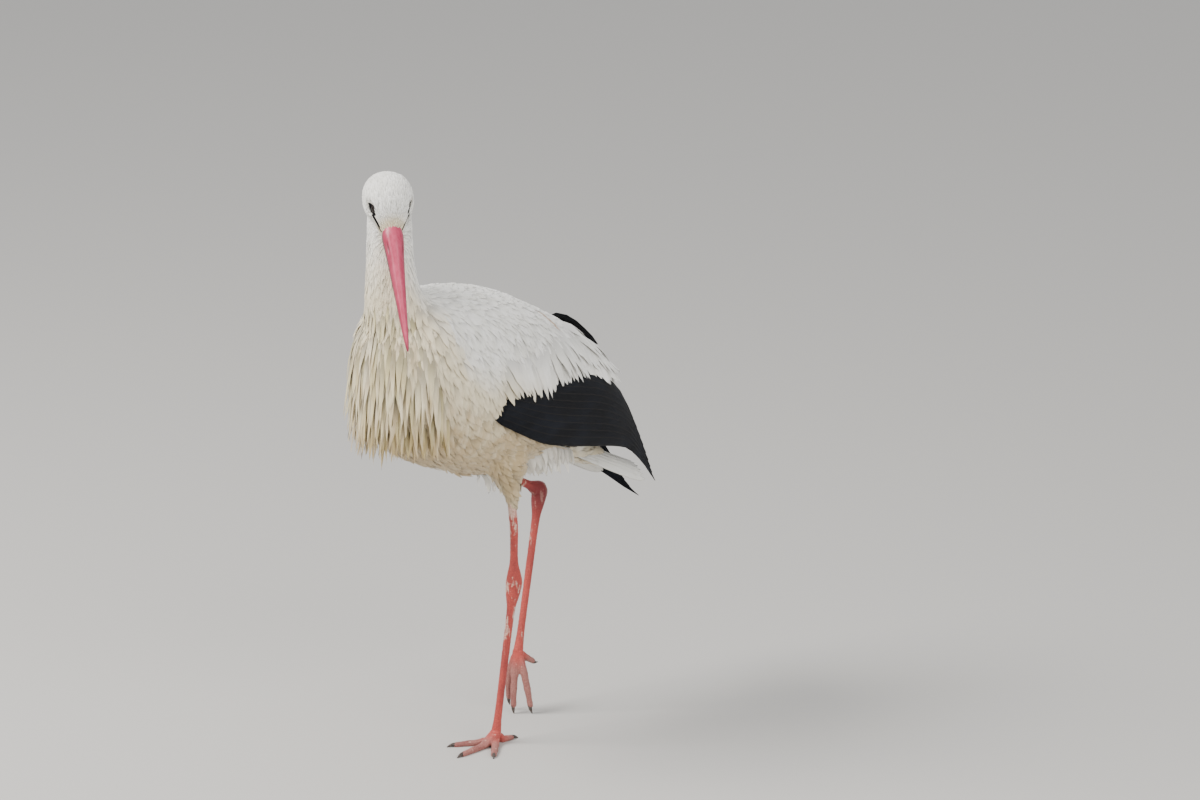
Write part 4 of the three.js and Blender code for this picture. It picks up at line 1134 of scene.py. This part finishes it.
tail_material = feather_material("white_tail", 0.0, 0.92, 0.9)
tail_up = (math.sin(TAIL_DROP), math.cos(TAIL_DROP))
bodies = []
for i in np.argsort(-np.abs(np.arange(TAIL_FEATHERS) - (TAIL_FEATHERS - 1) / 2), kind="stable"):
    u = 2 * i / (TAIL_FEATHERS - 1) - 1
    reach = TAIL_LENGTH * run * (1 - 0.05 * u**2)
    line = np.stack([
        TAIL_SHIFT * run + u * (TAIL_HALF[0] + (TAIL_HALF[1] - TAIL_HALF[0]) * run),
        TAIL_ROOT_Y + reach * math.cos(TAIL_DROP),
        TAIL_ROOT_Z - reach * math.sin(TAIL_DROP) - TAIL_ARCH * u**2 * (0.4 + 0.6 * run),
    ], -1)
    up = np.tile(unit(np.array([2 * TAIL_ARCH * u / TAIL_HALF[1], *tail_up])), (QUILL_ROWS, 1))
    profile = np.clip(0.4 + 2 * run, 0, 1) * np.sqrt(np.clip(1 - run**6, 0.004, 1))
    bodies.append(quill(line + up * TAIL_STACK * (1 - abs(u)), up, TAIL_FEATHER_WIDTH * profile))
tail = quill_piece("tail_fan", bodies, tail_material)
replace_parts(tail, "tail")

# ---------------------------------------------------------------- bill
# Long dagger of pink-red horn in two halves with a fine gape between them, a low ridge along the top,
# a slit nostril in a shallow groove on each side near the forehead, and a worn, darker tip.

BILL_LENGTH, BILL_BASE = 0.161, 0.047
# share of the length, rise, half width, height of the ridge, depth of the lower half
BILL = [
    (-0.08, -0.003, 0.0110, 0.0100, 0.0110), (0.02, -0.003, 0.0138, 0.0128, 0.0135),
    (0.20, -0.003, 0.0113, 0.0113, 0.0112), (0.50, -0.0035, 0.0077, 0.0083, 0.0078),
    (0.80, -0.003, 0.0043, 0.0047, 0.0044), (0.96, -0.0022, 0.0021, 0.0023, 0.0021),
    (1.0, -0.002, 0.0008, 0.0008, 0.0008),
]
GAPE_DROP = -0.0012  # the gape against the middle line
GAPE_GAP = 0.0005
# share along, half length, angle up the side, half height: the nostrils, and the troughs they lie in
NOSTRIL = (0.130, 0.070, 0.66, 0.13)
TROUGH = (0.17, 0.16, 0.66, 0.26)
TROUGH_DEPTH, GROOVE_DEPTH = 0.22, 0.16
KEEL_HEIGHT, KEEL_WIDTH = 0.05, 0.22
BILL_RED = (0.37, 0.020, 0.064, 1)
BILL_ROSE = (0.50, 0.058, 0.122, 1)
# painted shade down the sides of the bill, and a painted highlight along its ridge
BILL_SIDE_PAINTED_SHADE = (0.27, 0.018, 0.048, 1)
BILL_RIDGE_PAINTED_HIGHLIGHT = (0.68, 0.150, 0.220, 1)
# the worn tip's own darker horn, and painted shade in the nostrils, their troughs and along the gape
BILL_DARK_TIP_AND_SHADE = (0.070, 0.012, 0.018, 1)

bill_material, tree, shader = new_material(
    "red_horn", 0.36, Specular_IOR_Level=0.5, Coat_Weight=0.15, Coat_Roughness=0.25)
place = body_place(tree)
streak = noise(place, 130.0, 4.0, (1.6, 1.6, 0.18))
mottle = noise(place, 34.0, 3.0)
reach_out = point_mark(tree, "along")
rosy = (streak * 0.7 + mottle * 0.5).fade(0.42, 0.80).mix(BILL_RED, BILL_ROSE)
off_middle = abs(place.vector("SUBTRACT", HEAD_CENTRE).vector("DOT_PRODUCT", head_left))
aside = off_middle.math("DIVIDE", 0.0150 - 0.0140 * reach_out)
# painted shade down the sides of the bill, and a painted highlight along its ridge
rosy = (aside.fade(0.55, 1.0) * 0.55).clamped().mix(rosy, BILL_SIDE_PAINTED_SHADE)
rosy = (aside.fade(0.42, 0.10) * 0.16).clamped().mix(rosy, BILL_RIDGE_PAINTED_HIGHLIGHT)
tipped = (reach_out.fade(0.90, 1.0) * 0.45 + (mottle - 0.5) * reach_out.fade(0.25, 0.0) * 0.5).clamped()
# painted shade in the nostrils, their troughs, along the gape and on the flats between the halves
horn = point_mark(tree, "groove").mix(tipped.mix(rosy, BILL_DARK_TIP_AND_SHADE), BILL_DARK_TIP_AND_SHADE)
finish(shader, horn, streak + mottle * 0.6, 0.00025, 0.5)
tree.links.new((0.28 + 0.22 * mottle).socket, shader.inputs["Roughness"])


def off_oval(share, angle, oval, flank):
    """Squared distance from the middle of an oval on the bill's side, in its own half sizes."""
    return ((share[:, None] - oval[0]) / oval[1]) ** 2 + ((angle - flank) / oval[3]) ** 2


def bill_half(name, top, node):
    """One half of the bill: a lofted shell from inside the forehead to the tip, closed by a flat."""
    share = np.concatenate([np.linspace(BILL[0][0], 0.25, 40), np.linspace(0.26, 1, 56)])
    rise, half, ridge, deep = smooth(BILL)(share).T
    angle = np.linspace(0, math.pi, 29)
    height = ridge - GAPE_DROP if top else deep + GAPE_DROP
    side = half[:, None] * np.sign(np.cos(angle)) * np.abs(np.cos(angle)) ** 0.92
    lift = height[:, None] * np.sin(angle) ** (0.80 if top else 0.92)
    keel = KEEL_HEIGHT * height[:, None] * np.exp(-(((angle - math.pi / 2) / KEEL_WIDTH) ** 2)) * top
    groove = np.zeros((len(share), len(angle)))
    for flank in (NOSTRIL[2], math.pi - NOSTRIL[2]):
        groove = np.maximum(groove, top * np.exp(-off_oval(share, angle, NOSTRIL, flank) * 1.6))
        groove = np.maximum(groove, top * TROUGH_DEPTH * np.exp(-off_oval(share, angle, TROUGH, flank)))
    sink = 1 - GROOVE_DEPTH * groove
    sign = 1 if top else -1
    seam = GAPE_DROP + sign * GAPE_GAP / 2
    ahead = BILL_BASE + share * BILL_LENGTH
    middle = HEAD_CENTRE + ahead[:, None] * bill_line + (rise + seam)[:, None] * crown_line
    shell = middle[:, None] + (side * sink)[..., None] * head_left
    shell = shell + (sign * (lift * sink + keel))[..., None] * crown_line
    inner = np.linspace(-0.8, 0.8, 5)
    flat = middle[:, None] + (inner * half[:, None])[..., None] * head_left
    points, faces = closed_loft(np.concatenate([shell, flat], 1))
    piece = new_piece(name, points, faces if top else [face[::-1] for face in faces], bill_material)
    # painted shade along the gape near the base and over the whole flat between the halves
    edge = 0.8 * (np.abs(np.cos(angle)) > 0.985) * step(share, 0.9, 0.3)[:, None]
    dark = np.concatenate([np.maximum(groove, edge), np.ones((len(share), len(inner)))], 1).ravel()
    around = len(angle) + len(inner)
    mark_points(piece, groove=[*dark, 1, 0], along=[*np.repeat(share, around), 0, 1])
    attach(piece, "root")
    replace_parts(piece, node)


bill_half("bill_top", True, "bill_upper")
bill_half("bill_bottom", False, "bill_lower")

# ---------------------------------------------------------------- eyes and lids
# Dark brown, wet eyes set in an almond of bare black skin. Each is a glossy ball sunk into the hollow
# of the skin and rimmed by a thin wrinkled lid, which bends round it.

EYE_RADIUS, EYE_SINK = 0.0066, 0.0036
EYE_SIDES, LID_SIDES = 40, 64
LID_OPENING = (0.0066, 0.0046)  # half length towards the bill, half height
LID_RIM = (0.0078, 0.0056)
LID_FOOT = (0.0096, 0.0070)
# half sizes of the lid's rings, and their height over the eye's heart
LID_SECTION = [
    (LID_OPENING, 0.0050), (LID_OPENING, 0.0061), (LID_RIM, 0.0058), (LID_FOOT, 0.0022),
    (LID_FOOT, -0.0010), (LID_RIM, 0.0016),
]
LID_BOW, LID_PINCH = 12.6, 0.16  # how the lid bends round the ball, and narrows at its corners
IRIS_BROWN, IRIS_DEEP = (0.022, 0.010, 0.006, 1), (0.009, 0.005, 0.004, 1)
PUPIL, EYE_RIM = (0.002, 0.002, 0.002, 1), (0.006, 0.005, 0.005, 1)
LID_BLACK, LID_GREY = (0.004, 0.004, 0.004, 1), (0.012, 0.011, 0.011, 1)

eye_material, tree, shader = new_material("wet_eye", 0.05, Specular_IOR_Level=0.3)
ring_share = point_mark(tree, "ring")
iris = noise(body_place(tree), 900.0, 2.0).mix(IRIS_BROWN, IRIS_DEEP)
pupil = ring_share.fade(0.40, 0.34).mix(iris, PUPIL)
finish(shader, ring_share.fade(0.80, 0.90).mix(pupil, EYE_RIM))

lid_material, tree, shader = new_material("black_lid", 0.6, Specular_IOR_Level=0.15)
wrinkle = noise(body_place(tree), 900.0, 3.0)
finish(shader, wrinkle.mix(LID_BLACK, LID_GREY), wrinkle, 0.0003, 0.7)

for side in ("left", "right"):
    centre, outwards, ahead, up = eye_frame(side)
    heart = centre - outwards * EYE_SINK
    angle = np.linspace(0, 2 * math.pi, EYE_SIDES, endpoint=False)
    radial = ahead[None] * np.cos(angle)[:, None] + up[None] * np.sin(angle)[:, None]
    polars = np.linspace(0.02, math.pi - 0.02, 26)
    points, faces = closed_loft([
        heart + EYE_RADIUS * (math.cos(polar) * outwards + math.sin(polar) * radial) for polar in polars
    ])
    ball = new_piece(f"eyeball_{side}", points, turned_out(points, faces), eye_material)
    rings = np.where(polars < math.pi / 2, np.sin(polars), 1.0)
    mark_points(ball, ring=[*np.repeat(rings, EYE_SIDES), 0, 1])
    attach(ball, "root")
    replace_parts(ball, f"eye_{side}")

    points = []
    for a in np.linspace(0, 2 * math.pi, LID_SIDES, endpoint=False):
        pinch = 1 - LID_PINCH * abs(math.cos(a)) ** 6
        for (long_half, tall_half), high in LID_SECTION:
            u, v = long_half * math.cos(a), tall_half * math.sin(a) * pinch
            points.append(heart + ahead * u + up * v + outwards * (high - LID_BOW * (u * u + v * v)))
    points, faces, around = np.array(points), [], len(LID_SECTION)
    for here in range(0, len(points), around):
        there = (here + around) % len(points)
        for k in range(around):
            n = (k + 1) % around
            faces.append((here + k, here + n, there + n, there + k))
    lid = new_piece(f"lid_{side}", points, turned_out(points, faces), lid_material)
    rounder = lid.modifiers.new("rounder", "SUBSURF")
    rounder.levels = rounder.render_levels = 1
    baked(lid)
    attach(lid, "root")

# ---------------------------------------------------------------- legs and feet
# Bare shanks, hocks and tarsi with three toes ahead and one behind, joined at the ball by a small web.
# Each leg is one skin of red horn-like scales, small six-sided plates all over, worn pale in places, with
# painted shade round the hock of the swinging leg.

SHANK_RADIUS, HOCK_RADIUS, TARSUS_RADIUS, TOE_RADIUS = 0.0058, 0.0115, 0.0052, 0.0052
# knee, cuff, hock and ankle
LEGS = {
    "left": (*THIGHS["left"], (0.036, 0.021, 0.222), (0.018, 0.004, 0.015)),
    "right": (*THIGHS["right"], (-0.050, 0.184, 0.303), (-0.050, 0.137, 0.087)),
}
# heading in degrees and length of each toe on the ground, and the tips of those in the air
PLANTED_TOES = {"inner": (-36, 0.058), "middle": (2, 0.076), "outer": (36, 0.063), "hind": (172, 0.030)}
TOE_REST = (1.25, 0.65, 0.56, 0.45)  # heights of a planted toe's joints, in toe radii
SWINGING_TOES = {
    "inner": (-0.033, 0.142, 0.010), "middle": (-0.052, 0.129, 0.0094), "outer": (-0.067, 0.138, 0.017),
    "hind": (-0.049, 0.168, 0.066),
}
TOE_TAPER = (1.15, 1.02, 0.96, 0.84, 0.7)
LEG_STEP, LEG_SMOOTHINGS = 0.0012, 3
SCUTE_SPACING, SCUTE_RADIUS, SCUTE_HEIGHT, SCUTE_SEED = 0.0023, 0.00145, 0.00042, 11
SCUTE_CROWD, SCUTE_SIZES = 900000.0, (0.78, 1.15)  # tries for each square metre, range of their sizes
CLAW_LENGTH, CLAW_RADIUS = 0.010, 0.0029
# how far from the hock its own wear, that of the tarsus and the painted shade round the hock of the swinging
# leg reach
HOCK_WEAR, TARSUS_WEAR, HOCK_SHADE_REACH = 0.013, (0.110, 0.030), 0.040
TOES_FROM = (0.006, 0.030)  # how far from the ankle the toes turn dusty
# share along a claw, share of its radius
CLAW_TAPER = ((-0.35, 0.95), (0.0, 1.02), (0.35, 0.86), (0.7, 0.55), (0.9, 0.28), (1.0, 0.10))
CORAL = (0.50, 0.070, 0.052, 1)
PALE_SCALE = (0.66, 0.45, 0.36, 1)
# deep red: the legs' own darker blotches and scale joints, and painted shade round a hock
DEEP_RED_AND_SHADE = (0.125, 0.010, 0.015, 1)
DUSTY_PINK = (0.36, 0.150, 0.125, 1)
CLAW_DARK, CLAW_BROWN = (0.030, 0.022, 0.019, 1), (0.105, 0.075, 0.062, 1)

leg_material, tree, shader = new_material("red_scales", 0.5, Specular_IOR_Level=0.45)
place = body_place(tree)
blotch = noise(place, 42.0, 4.0, (1, 1, 0.30))
fine = noise(place, 260.0, 3.0, (1, 1, 0.55))
flake = noise(place, 120.0, 3.0, (1, 1, 0.22))
scute, worn_high, hock_shade, toe_mark = (point_mark(tree, name) for name in ("scute", "worn", "deep", "toe"))
cells = Wire.node(tree, "TexVoronoi", {"feature": "DISTANCE_TO_EDGE"}, {"Vector": place, "Scale": 360.0})
groove = cells.fade(0.10, 0.0)
base = (blotch.fade(0.55, 0.30) * 0.45).clamped().mix(toe_mark.mix(CORAL, DUSTY_PINK), DEEP_RED_AND_SHADE)
# painted shade round the hock of the swinging leg, which hangs under the body
base = (hock_shade * (0.75 + 0.45 * blotch)).clamped().mix(base, DEEP_RED_AND_SHADE)
peel = (flake * 1.10 + fine * 0.20 + worn_high * 0.30 + (scute - 0.5) * 0.05).fade(0.79, 0.90)
skin_colour = (peel * (1.0 - hock_shade * 0.8)).clamped().mix(base, PALE_SCALE)
dust = (groove * 0.35 + (0.5 - scute) * 0.35).clamped()
finish(shader, dust.mix(skin_colour, DEEP_RED_AND_SHADE), fine * 0.6 - groove * 0.5, 0.0003, 0.5)
tree.links.new((0.36 + 0.30 * fine).socket, shader.inputs["Roughness"])

claw_material, tree, shader = new_material("dark_claw", 0.42, Specular_IOR_Level=0.5)
growth = noise(body_place(tree), 420.0, 3.0, (1, 1, 0.4))
finish(shader, growth.fade(0.3, 0.8).mix(CLAW_DARK, CLAW_BROWN), growth, 0.0002, 0.5)


def leg_stations(knee, cuff, hock, ankle):
    inside = knee + (cuff - knee) * 0.62
    plan = [
        (inside, cuff, 0, SHANK_RADIUS), (cuff, hock, 0.25, SHANK_RADIUS), (cuff, hock, 0.72, SHANK_RADIUS),
        (cuff, hock, 0.90, HOCK_RADIUS * 0.86), (cuff, hock, 1, HOCK_RADIUS),
        (hock, ankle, 0.07, HOCK_RADIUS * 0.86), (hock, ankle, 0.17, TARSUS_RADIUS * 1.15),
        (hock, ankle, 0.5, TARSUS_RADIUS), (hock, ankle, 0.88, TARSUS_RADIUS),
        (hock, ankle, 1, TARSUS_RADIUS * 1.35),
    ]
    return [(*(start + (end - start) * share), size * 0.92, size, size) for start, end, share, size in plan]


def planted_toe(ankle, heading, reach):
    """Joints of a toe laid on the ground from the ankle, and the line across it."""
    x, y, z = ankle
    angle = math.radians(heading)
    joints = [(0, z - 0.002), (0.010, TOE_REST[0] * TOE_RADIUS)]
    joints += [(reach * share, rest * TOE_RADIUS) for share, rest in zip((0.4, 0.75, 1), TOE_REST[1:])]
    line = [(x + far * math.sin(angle), y - far * math.cos(angle), height) for far, height in joints]
    return np.array(line), (math.cos(angle), math.sin(angle), 0)


def swinging_toe(ankle, *tip):
    """Joints of a toe hanging from the ankle to its tip in the air, and the line across it."""
    run = np.array(tip) - ankle
    bulge = np.array([run[0] * 0.25, -0.003, 0])
    line = [ankle + run * share + bulge * bend
            for share, bend in ((0, 0), (0.2, 0.8), (0.45, 1), (0.75, 0.7), (1, 0))]
    return np.array(line), (1, 0, 0)


def toe_loft(line, across):
    """A toe with a little swelling at each joint and a pad under its end."""
    share = np.linspace(0, 1, 33)
    rows = smooth(np.column_stack([np.linspace(0, 1, 5), line, TOE_TAPER]))(share)
    swell = sum(np.exp(-(((share - joint) / 0.045) ** 2)) for joint in (0.42, 0.68, 0.93))
    size = rows[:, 3] * TOE_RADIUS * (0.97 + 0.10 * swell)
    return limb(np.column_stack([rows[:, :3], size, size * 0.9, size]), across, 16, 48)


def scute_net():
    """Geometry nodes: six-sided plates scattered evenly over a leg, each lying on its skin."""
    net = bpy.data.node_groups.new("scutes", "GeometryNodeTree")
    for name, kind in (("Leg", "Geometry"), ("Spacing", "Float"), ("Radius", "Float"), ("Height", "Float"),
                       ("Seed", "Int"), ("Horn", "Material")):
        net.interface.new_socket(name, in_out="INPUT", socket_type="NodeSocket" + kind)
    net.interface.new_socket("Scaly leg", in_out="OUTPUT", socket_type="NodeSocketGeometry")

    def add(kind, settings=None, sockets=None):
        node = net.nodes.new(kind)
        for name, value in (settings or {}).items():
            setattr(node, name, value)
        for key, value in (sockets or {}).items():
            if isinstance(value, bpy.types.NodeSocket):
                net.links.new(value, node.inputs[key])
            else:
                node.inputs[key].default_value = value
        return node

    given = net.nodes.new("NodeGroupInput").outputs
    spots = add("GeometryNodeDistributePointsOnFaces", {"distribute_method": "POISSON"}, {
        "Mesh": given["Leg"], "Distance Min": given["Spacing"], "Density Max": SCUTE_CROWD,
        "Seed": given["Seed"],
    })
    plate = add("GeometryNodeMeshCone", {"fill_type": "NGON"},
                {"Vertices": 6, "Radius Top": 0.62, "Radius Bottom": 1.0, "Depth": 1.0})
    wide = add("ShaderNodeCombineXYZ", None, {0: given["Radius"], 1: given["Radius"], 2: given["Height"]})
    sunk = add("GeometryNodeTransform", None, {"Geometry": plate.outputs[0], "Translation": (0, 0, -0.35)})
    sized = add("GeometryNodeTransform", None, {"Geometry": sunk.outputs[0], "Scale": wide.outputs[0]})
    vary = add("FunctionNodeRandomValue", {"data_type": "FLOAT"}, {
        2: SCUTE_SIZES[0], 3: SCUTE_SIZES[1], "Seed": given["Seed"],
    })
    plates = add("GeometryNodeInstanceOnPoints", None, {
        "Points": spots.outputs["Points"], "Instance": sized.outputs[0],
        "Rotation": spots.outputs["Rotation"], "Scale": vary.outputs[1],
    })
    shade = add("FunctionNodeRandomValue", {"data_type": "FLOAT"}, {2: 0.0, 3: 1.0, "Seed": 3})
    marked = add("GeometryNodeStoreNamedAttribute", {"data_type": "FLOAT", "domain": "INSTANCE"},
                 {"Geometry": plates.outputs[0], "Name": "scute", "Value": shade.outputs[1]})
    solid = add("GeometryNodeRealizeInstances", None, {"Geometry": marked.outputs[0]})
    both = add("GeometryNodeJoinGeometry")
    net.links.new(solid.outputs[0], both.inputs[0])
    net.links.new(given["Leg"], both.inputs[0])
    horn = add("GeometryNodeSetMaterial", None, {"Geometry": both.outputs[0], "Material": given["Horn"]})
    net.links.new(horn.outputs[0], net.nodes.new("NodeGroupOutput").inputs[0])
    return net


def claw(name, line, across, planted):
    """A short curved claw: from the toe's end onwards, bending down to its point."""
    ahead = unit(line[-1] - line[-2])
    below = np.cross(ahead, across)
    down = np.array([0, 0, -1.0]) if planted else unit(below) * (1 if below[1] > 0 else -1)
    stations = []
    for share, girth in CLAW_TAPER:
        centre = line[-1] + ahead * share * CLAW_LENGTH + down * (-0.0006 + 0.0020 * share**2)
        size = girth * CLAW_RADIUS
        stations.append((*centre, size * 0.82, size, size * 0.8))
    points, faces = limb(stations, across, 16, 20)
    if planted:
        points[:, 2] = np.maximum(points[:, 2], -stand[2])
    piece = new_piece(name, points, turned_out(points, faces), claw_material)
    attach(piece, "root")
    return piece


net = scute_net()
for side, leg in LEGS.items():
    knee, cuff, hock, ankle = leg = [np.array(joint) for joint in leg]
    planted = side == "left"
    kind, plan = (planted_toe, PLANTED_TOES) if planted else (swinging_toe, SWINGING_TOES)
    toes = {name: kind(ankle, *toe) for name, toe in plan.items()}
    bodies = [limb(leg_stations(*leg), (1, 0, 0), 24, 90)]
    bodies += [toe_loft(line, across) for line, across in toes.values()]
    ball, pad = TOE_RADIUS * 1.6, TOE_RADIUS * 1.2
    knuckle = toes["middle"][0][2]
    bodies.append(limb([(*ankle, ball, pad, pad), (*knuckle, pad, pad / 2, pad / 2)], (1, 0, 0), 16, 12))
    points, faces = joined([(points, turned_out(points, faces)) for points, faces in bodies])
    piece = melted(new_piece(f"leg_{side}", points, faces, leg_material), LEG_STEP, LEG_SMOOTHINGS)
    scales = piece.modifiers.new("scutes", "NODES")
    scales.node_group = net
    values = {"Spacing": SCUTE_SPACING, "Radius": SCUTE_RADIUS, "Height": SCUTE_HEIGHT,
              "Seed": SCUTE_SEED + planted, "Horn": leg_material}
    for socket in net.interface.items_tree:
        if socket.name in values:
            scales[socket.identifier] = values[socket.name]
    baked(piece)
    spot = points_of(piece)
    if planted:
        spot[:, 2] = np.maximum(spot[:, 2], -stand[2])
        move_points(piece, spot)
    from_hock = np.linalg.norm(spot - hock, axis=1)
    up_leg = np.clip((spot - hock) @ (cuff - hock) / ((cuff - hock) @ (cuff - hock)), 0, 1)
    worn = 0.75 * step(up_leg, 0.15, 0.85) + 0.9 * np.exp(-((from_hock / HOCK_WEAR) ** 2))
    worn = worn + 0.45 * step(from_hock, *TARSUS_WEAR) * step(spot[:, 2], hock[2] + 0.02, hock[2] - 0.02)
    # painted shade round the hock of the swinging leg, kept on its points as deep
    deep = np.zeros(len(spot)) if planted else np.exp(-((from_hock / HOCK_SHADE_REACH) ** 2))
    toe = step(np.linalg.norm(spot - ankle, axis=1), *TOES_FROM) * (spot[:, 2] < ankle[2] + 0.004)
    mark_points(piece, worn=worn, deep=deep, toe=toe)
    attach(piece, "root")
    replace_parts(piece, f"shank_{side}", f"tarsus_{side}", f"foot_{side}")
    for name, (line, across) in toes.items():
        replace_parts(claw(f"horn_claw_{side}_{name}", line, across, planted), f"claw_{side}_{name}")

# ---------------------------------------------------------------- floor, light and camera
# A plain pale floor and soft light from a bright room: a large lamp ahead of the bird on its right, as
# from a window, and a weaker one on its left. The camera is far off and a little above the bird.

FLOOR_SIZE = 60.0
FLOOR_GREY = (0.50, 0.49, 0.47, 1)
SKY_COLOUR, SKY_STRENGTH = (0.97, 0.98, 1.0, 1), 0.80
VIEW_TURN, VIEW_RISE = math.radians(38), math.radians(14)
VIEW_DISTANCE, SENSOR = 10.0, 36.0
PIXELS_PER_METRE = 756.0
PICTURE = (1200, 800)
SOLE_PLACE, SOLE_PIXEL = (0.018, 0, 0), (493, 748)
AIM_NEARER = 0.114  # how far in front of that place the camera's aim is

floor_mesh = bpy.data.meshes.new("floor")
half = FLOOR_SIZE / 2
corners = [(-half, -half, 0), (half, -half, 0), (half, half, 0), (-half, half, 0)]
floor_mesh.from_pydata(corners, [], [(0, 1, 2, 3)])
floor = bpy.data.objects.new("floor", floor_mesh)
bpy.context.scene.collection.objects.link(floor)
floor_material, tree, shader = new_material("pale_floor", 0.9)
shader.inputs["Base Color"].default_value = FLOOR_GREY
floor_mesh.materials.append(floor_material)

world = bpy.data.worlds.new("soft_room")
bpy.context.scene.world = world
world.use_nodes = True
world.node_tree.nodes["Background"].inputs["Color"].default_value = SKY_COLOUR
world.node_tree.nodes["Background"].inputs["Strength"].default_value = SKY_STRENGTH


def soft_lamp(name, place, aim, size, power, colour):
    light = bpy.data.lights.new(name, "AREA")
    light.size = size
    light.energy = power
    light.color = colour
    lamp = bpy.data.objects.new(name, light)
    lamp.location = place
    lamp.rotation_euler = (Vector(aim) - Vector(place)).to_track_quat("-Z", "Y").to_euler()
    bpy.context.scene.collection.objects.link(lamp)


soft_lamp("window", (-1.6, -2.4, 3.4), (0, 0, 0.45), 2.2, 270, (1.0, 0.97, 0.93))
soft_lamp("fill", (3.2, -1.2, 1.9), (0, 0, 0.5), 2.5, 95, (1.0, 0.98, 0.95))

right = np.array([math.cos(VIEW_TURN), math.sin(VIEW_TURN), 0])
up_line = np.array([
    -math.sin(VIEW_TURN) * math.sin(VIEW_RISE),
    math.cos(VIEW_TURN) * math.sin(VIEW_RISE),
    math.cos(VIEW_RISE),
])
towards = np.cross(right, up_line)
across_px, up_px = PICTURE[0] / 2 - SOLE_PIXEL[0], SOLE_PIXEL[1] - PICTURE[1] / 2
target = np.array(SOLE_PLACE) + stand + towards * AIM_NEARER
target = target + right * across_px / PIXELS_PER_METRE + up_line * up_px / PIXELS_PER_METRE
camera_data = bpy.data.cameras.new("camera")
camera_data.sensor_width = SENSOR
camera_data.lens = SENSOR * PIXELS_PER_METRE * VIEW_DISTANCE / PICTURE[0]
camera_data.clip_end = 100
camera = bpy.data.objects.new("camera", camera_data)
camera.matrix_world = Matrix(np.column_stack([right, up_line, towards])).to_4x4()
camera.location = Vector(target + towards * VIEW_DISTANCE)
bpy.context.scene.collection.objects.link(camera)
bpy.context.scene.camera = camera
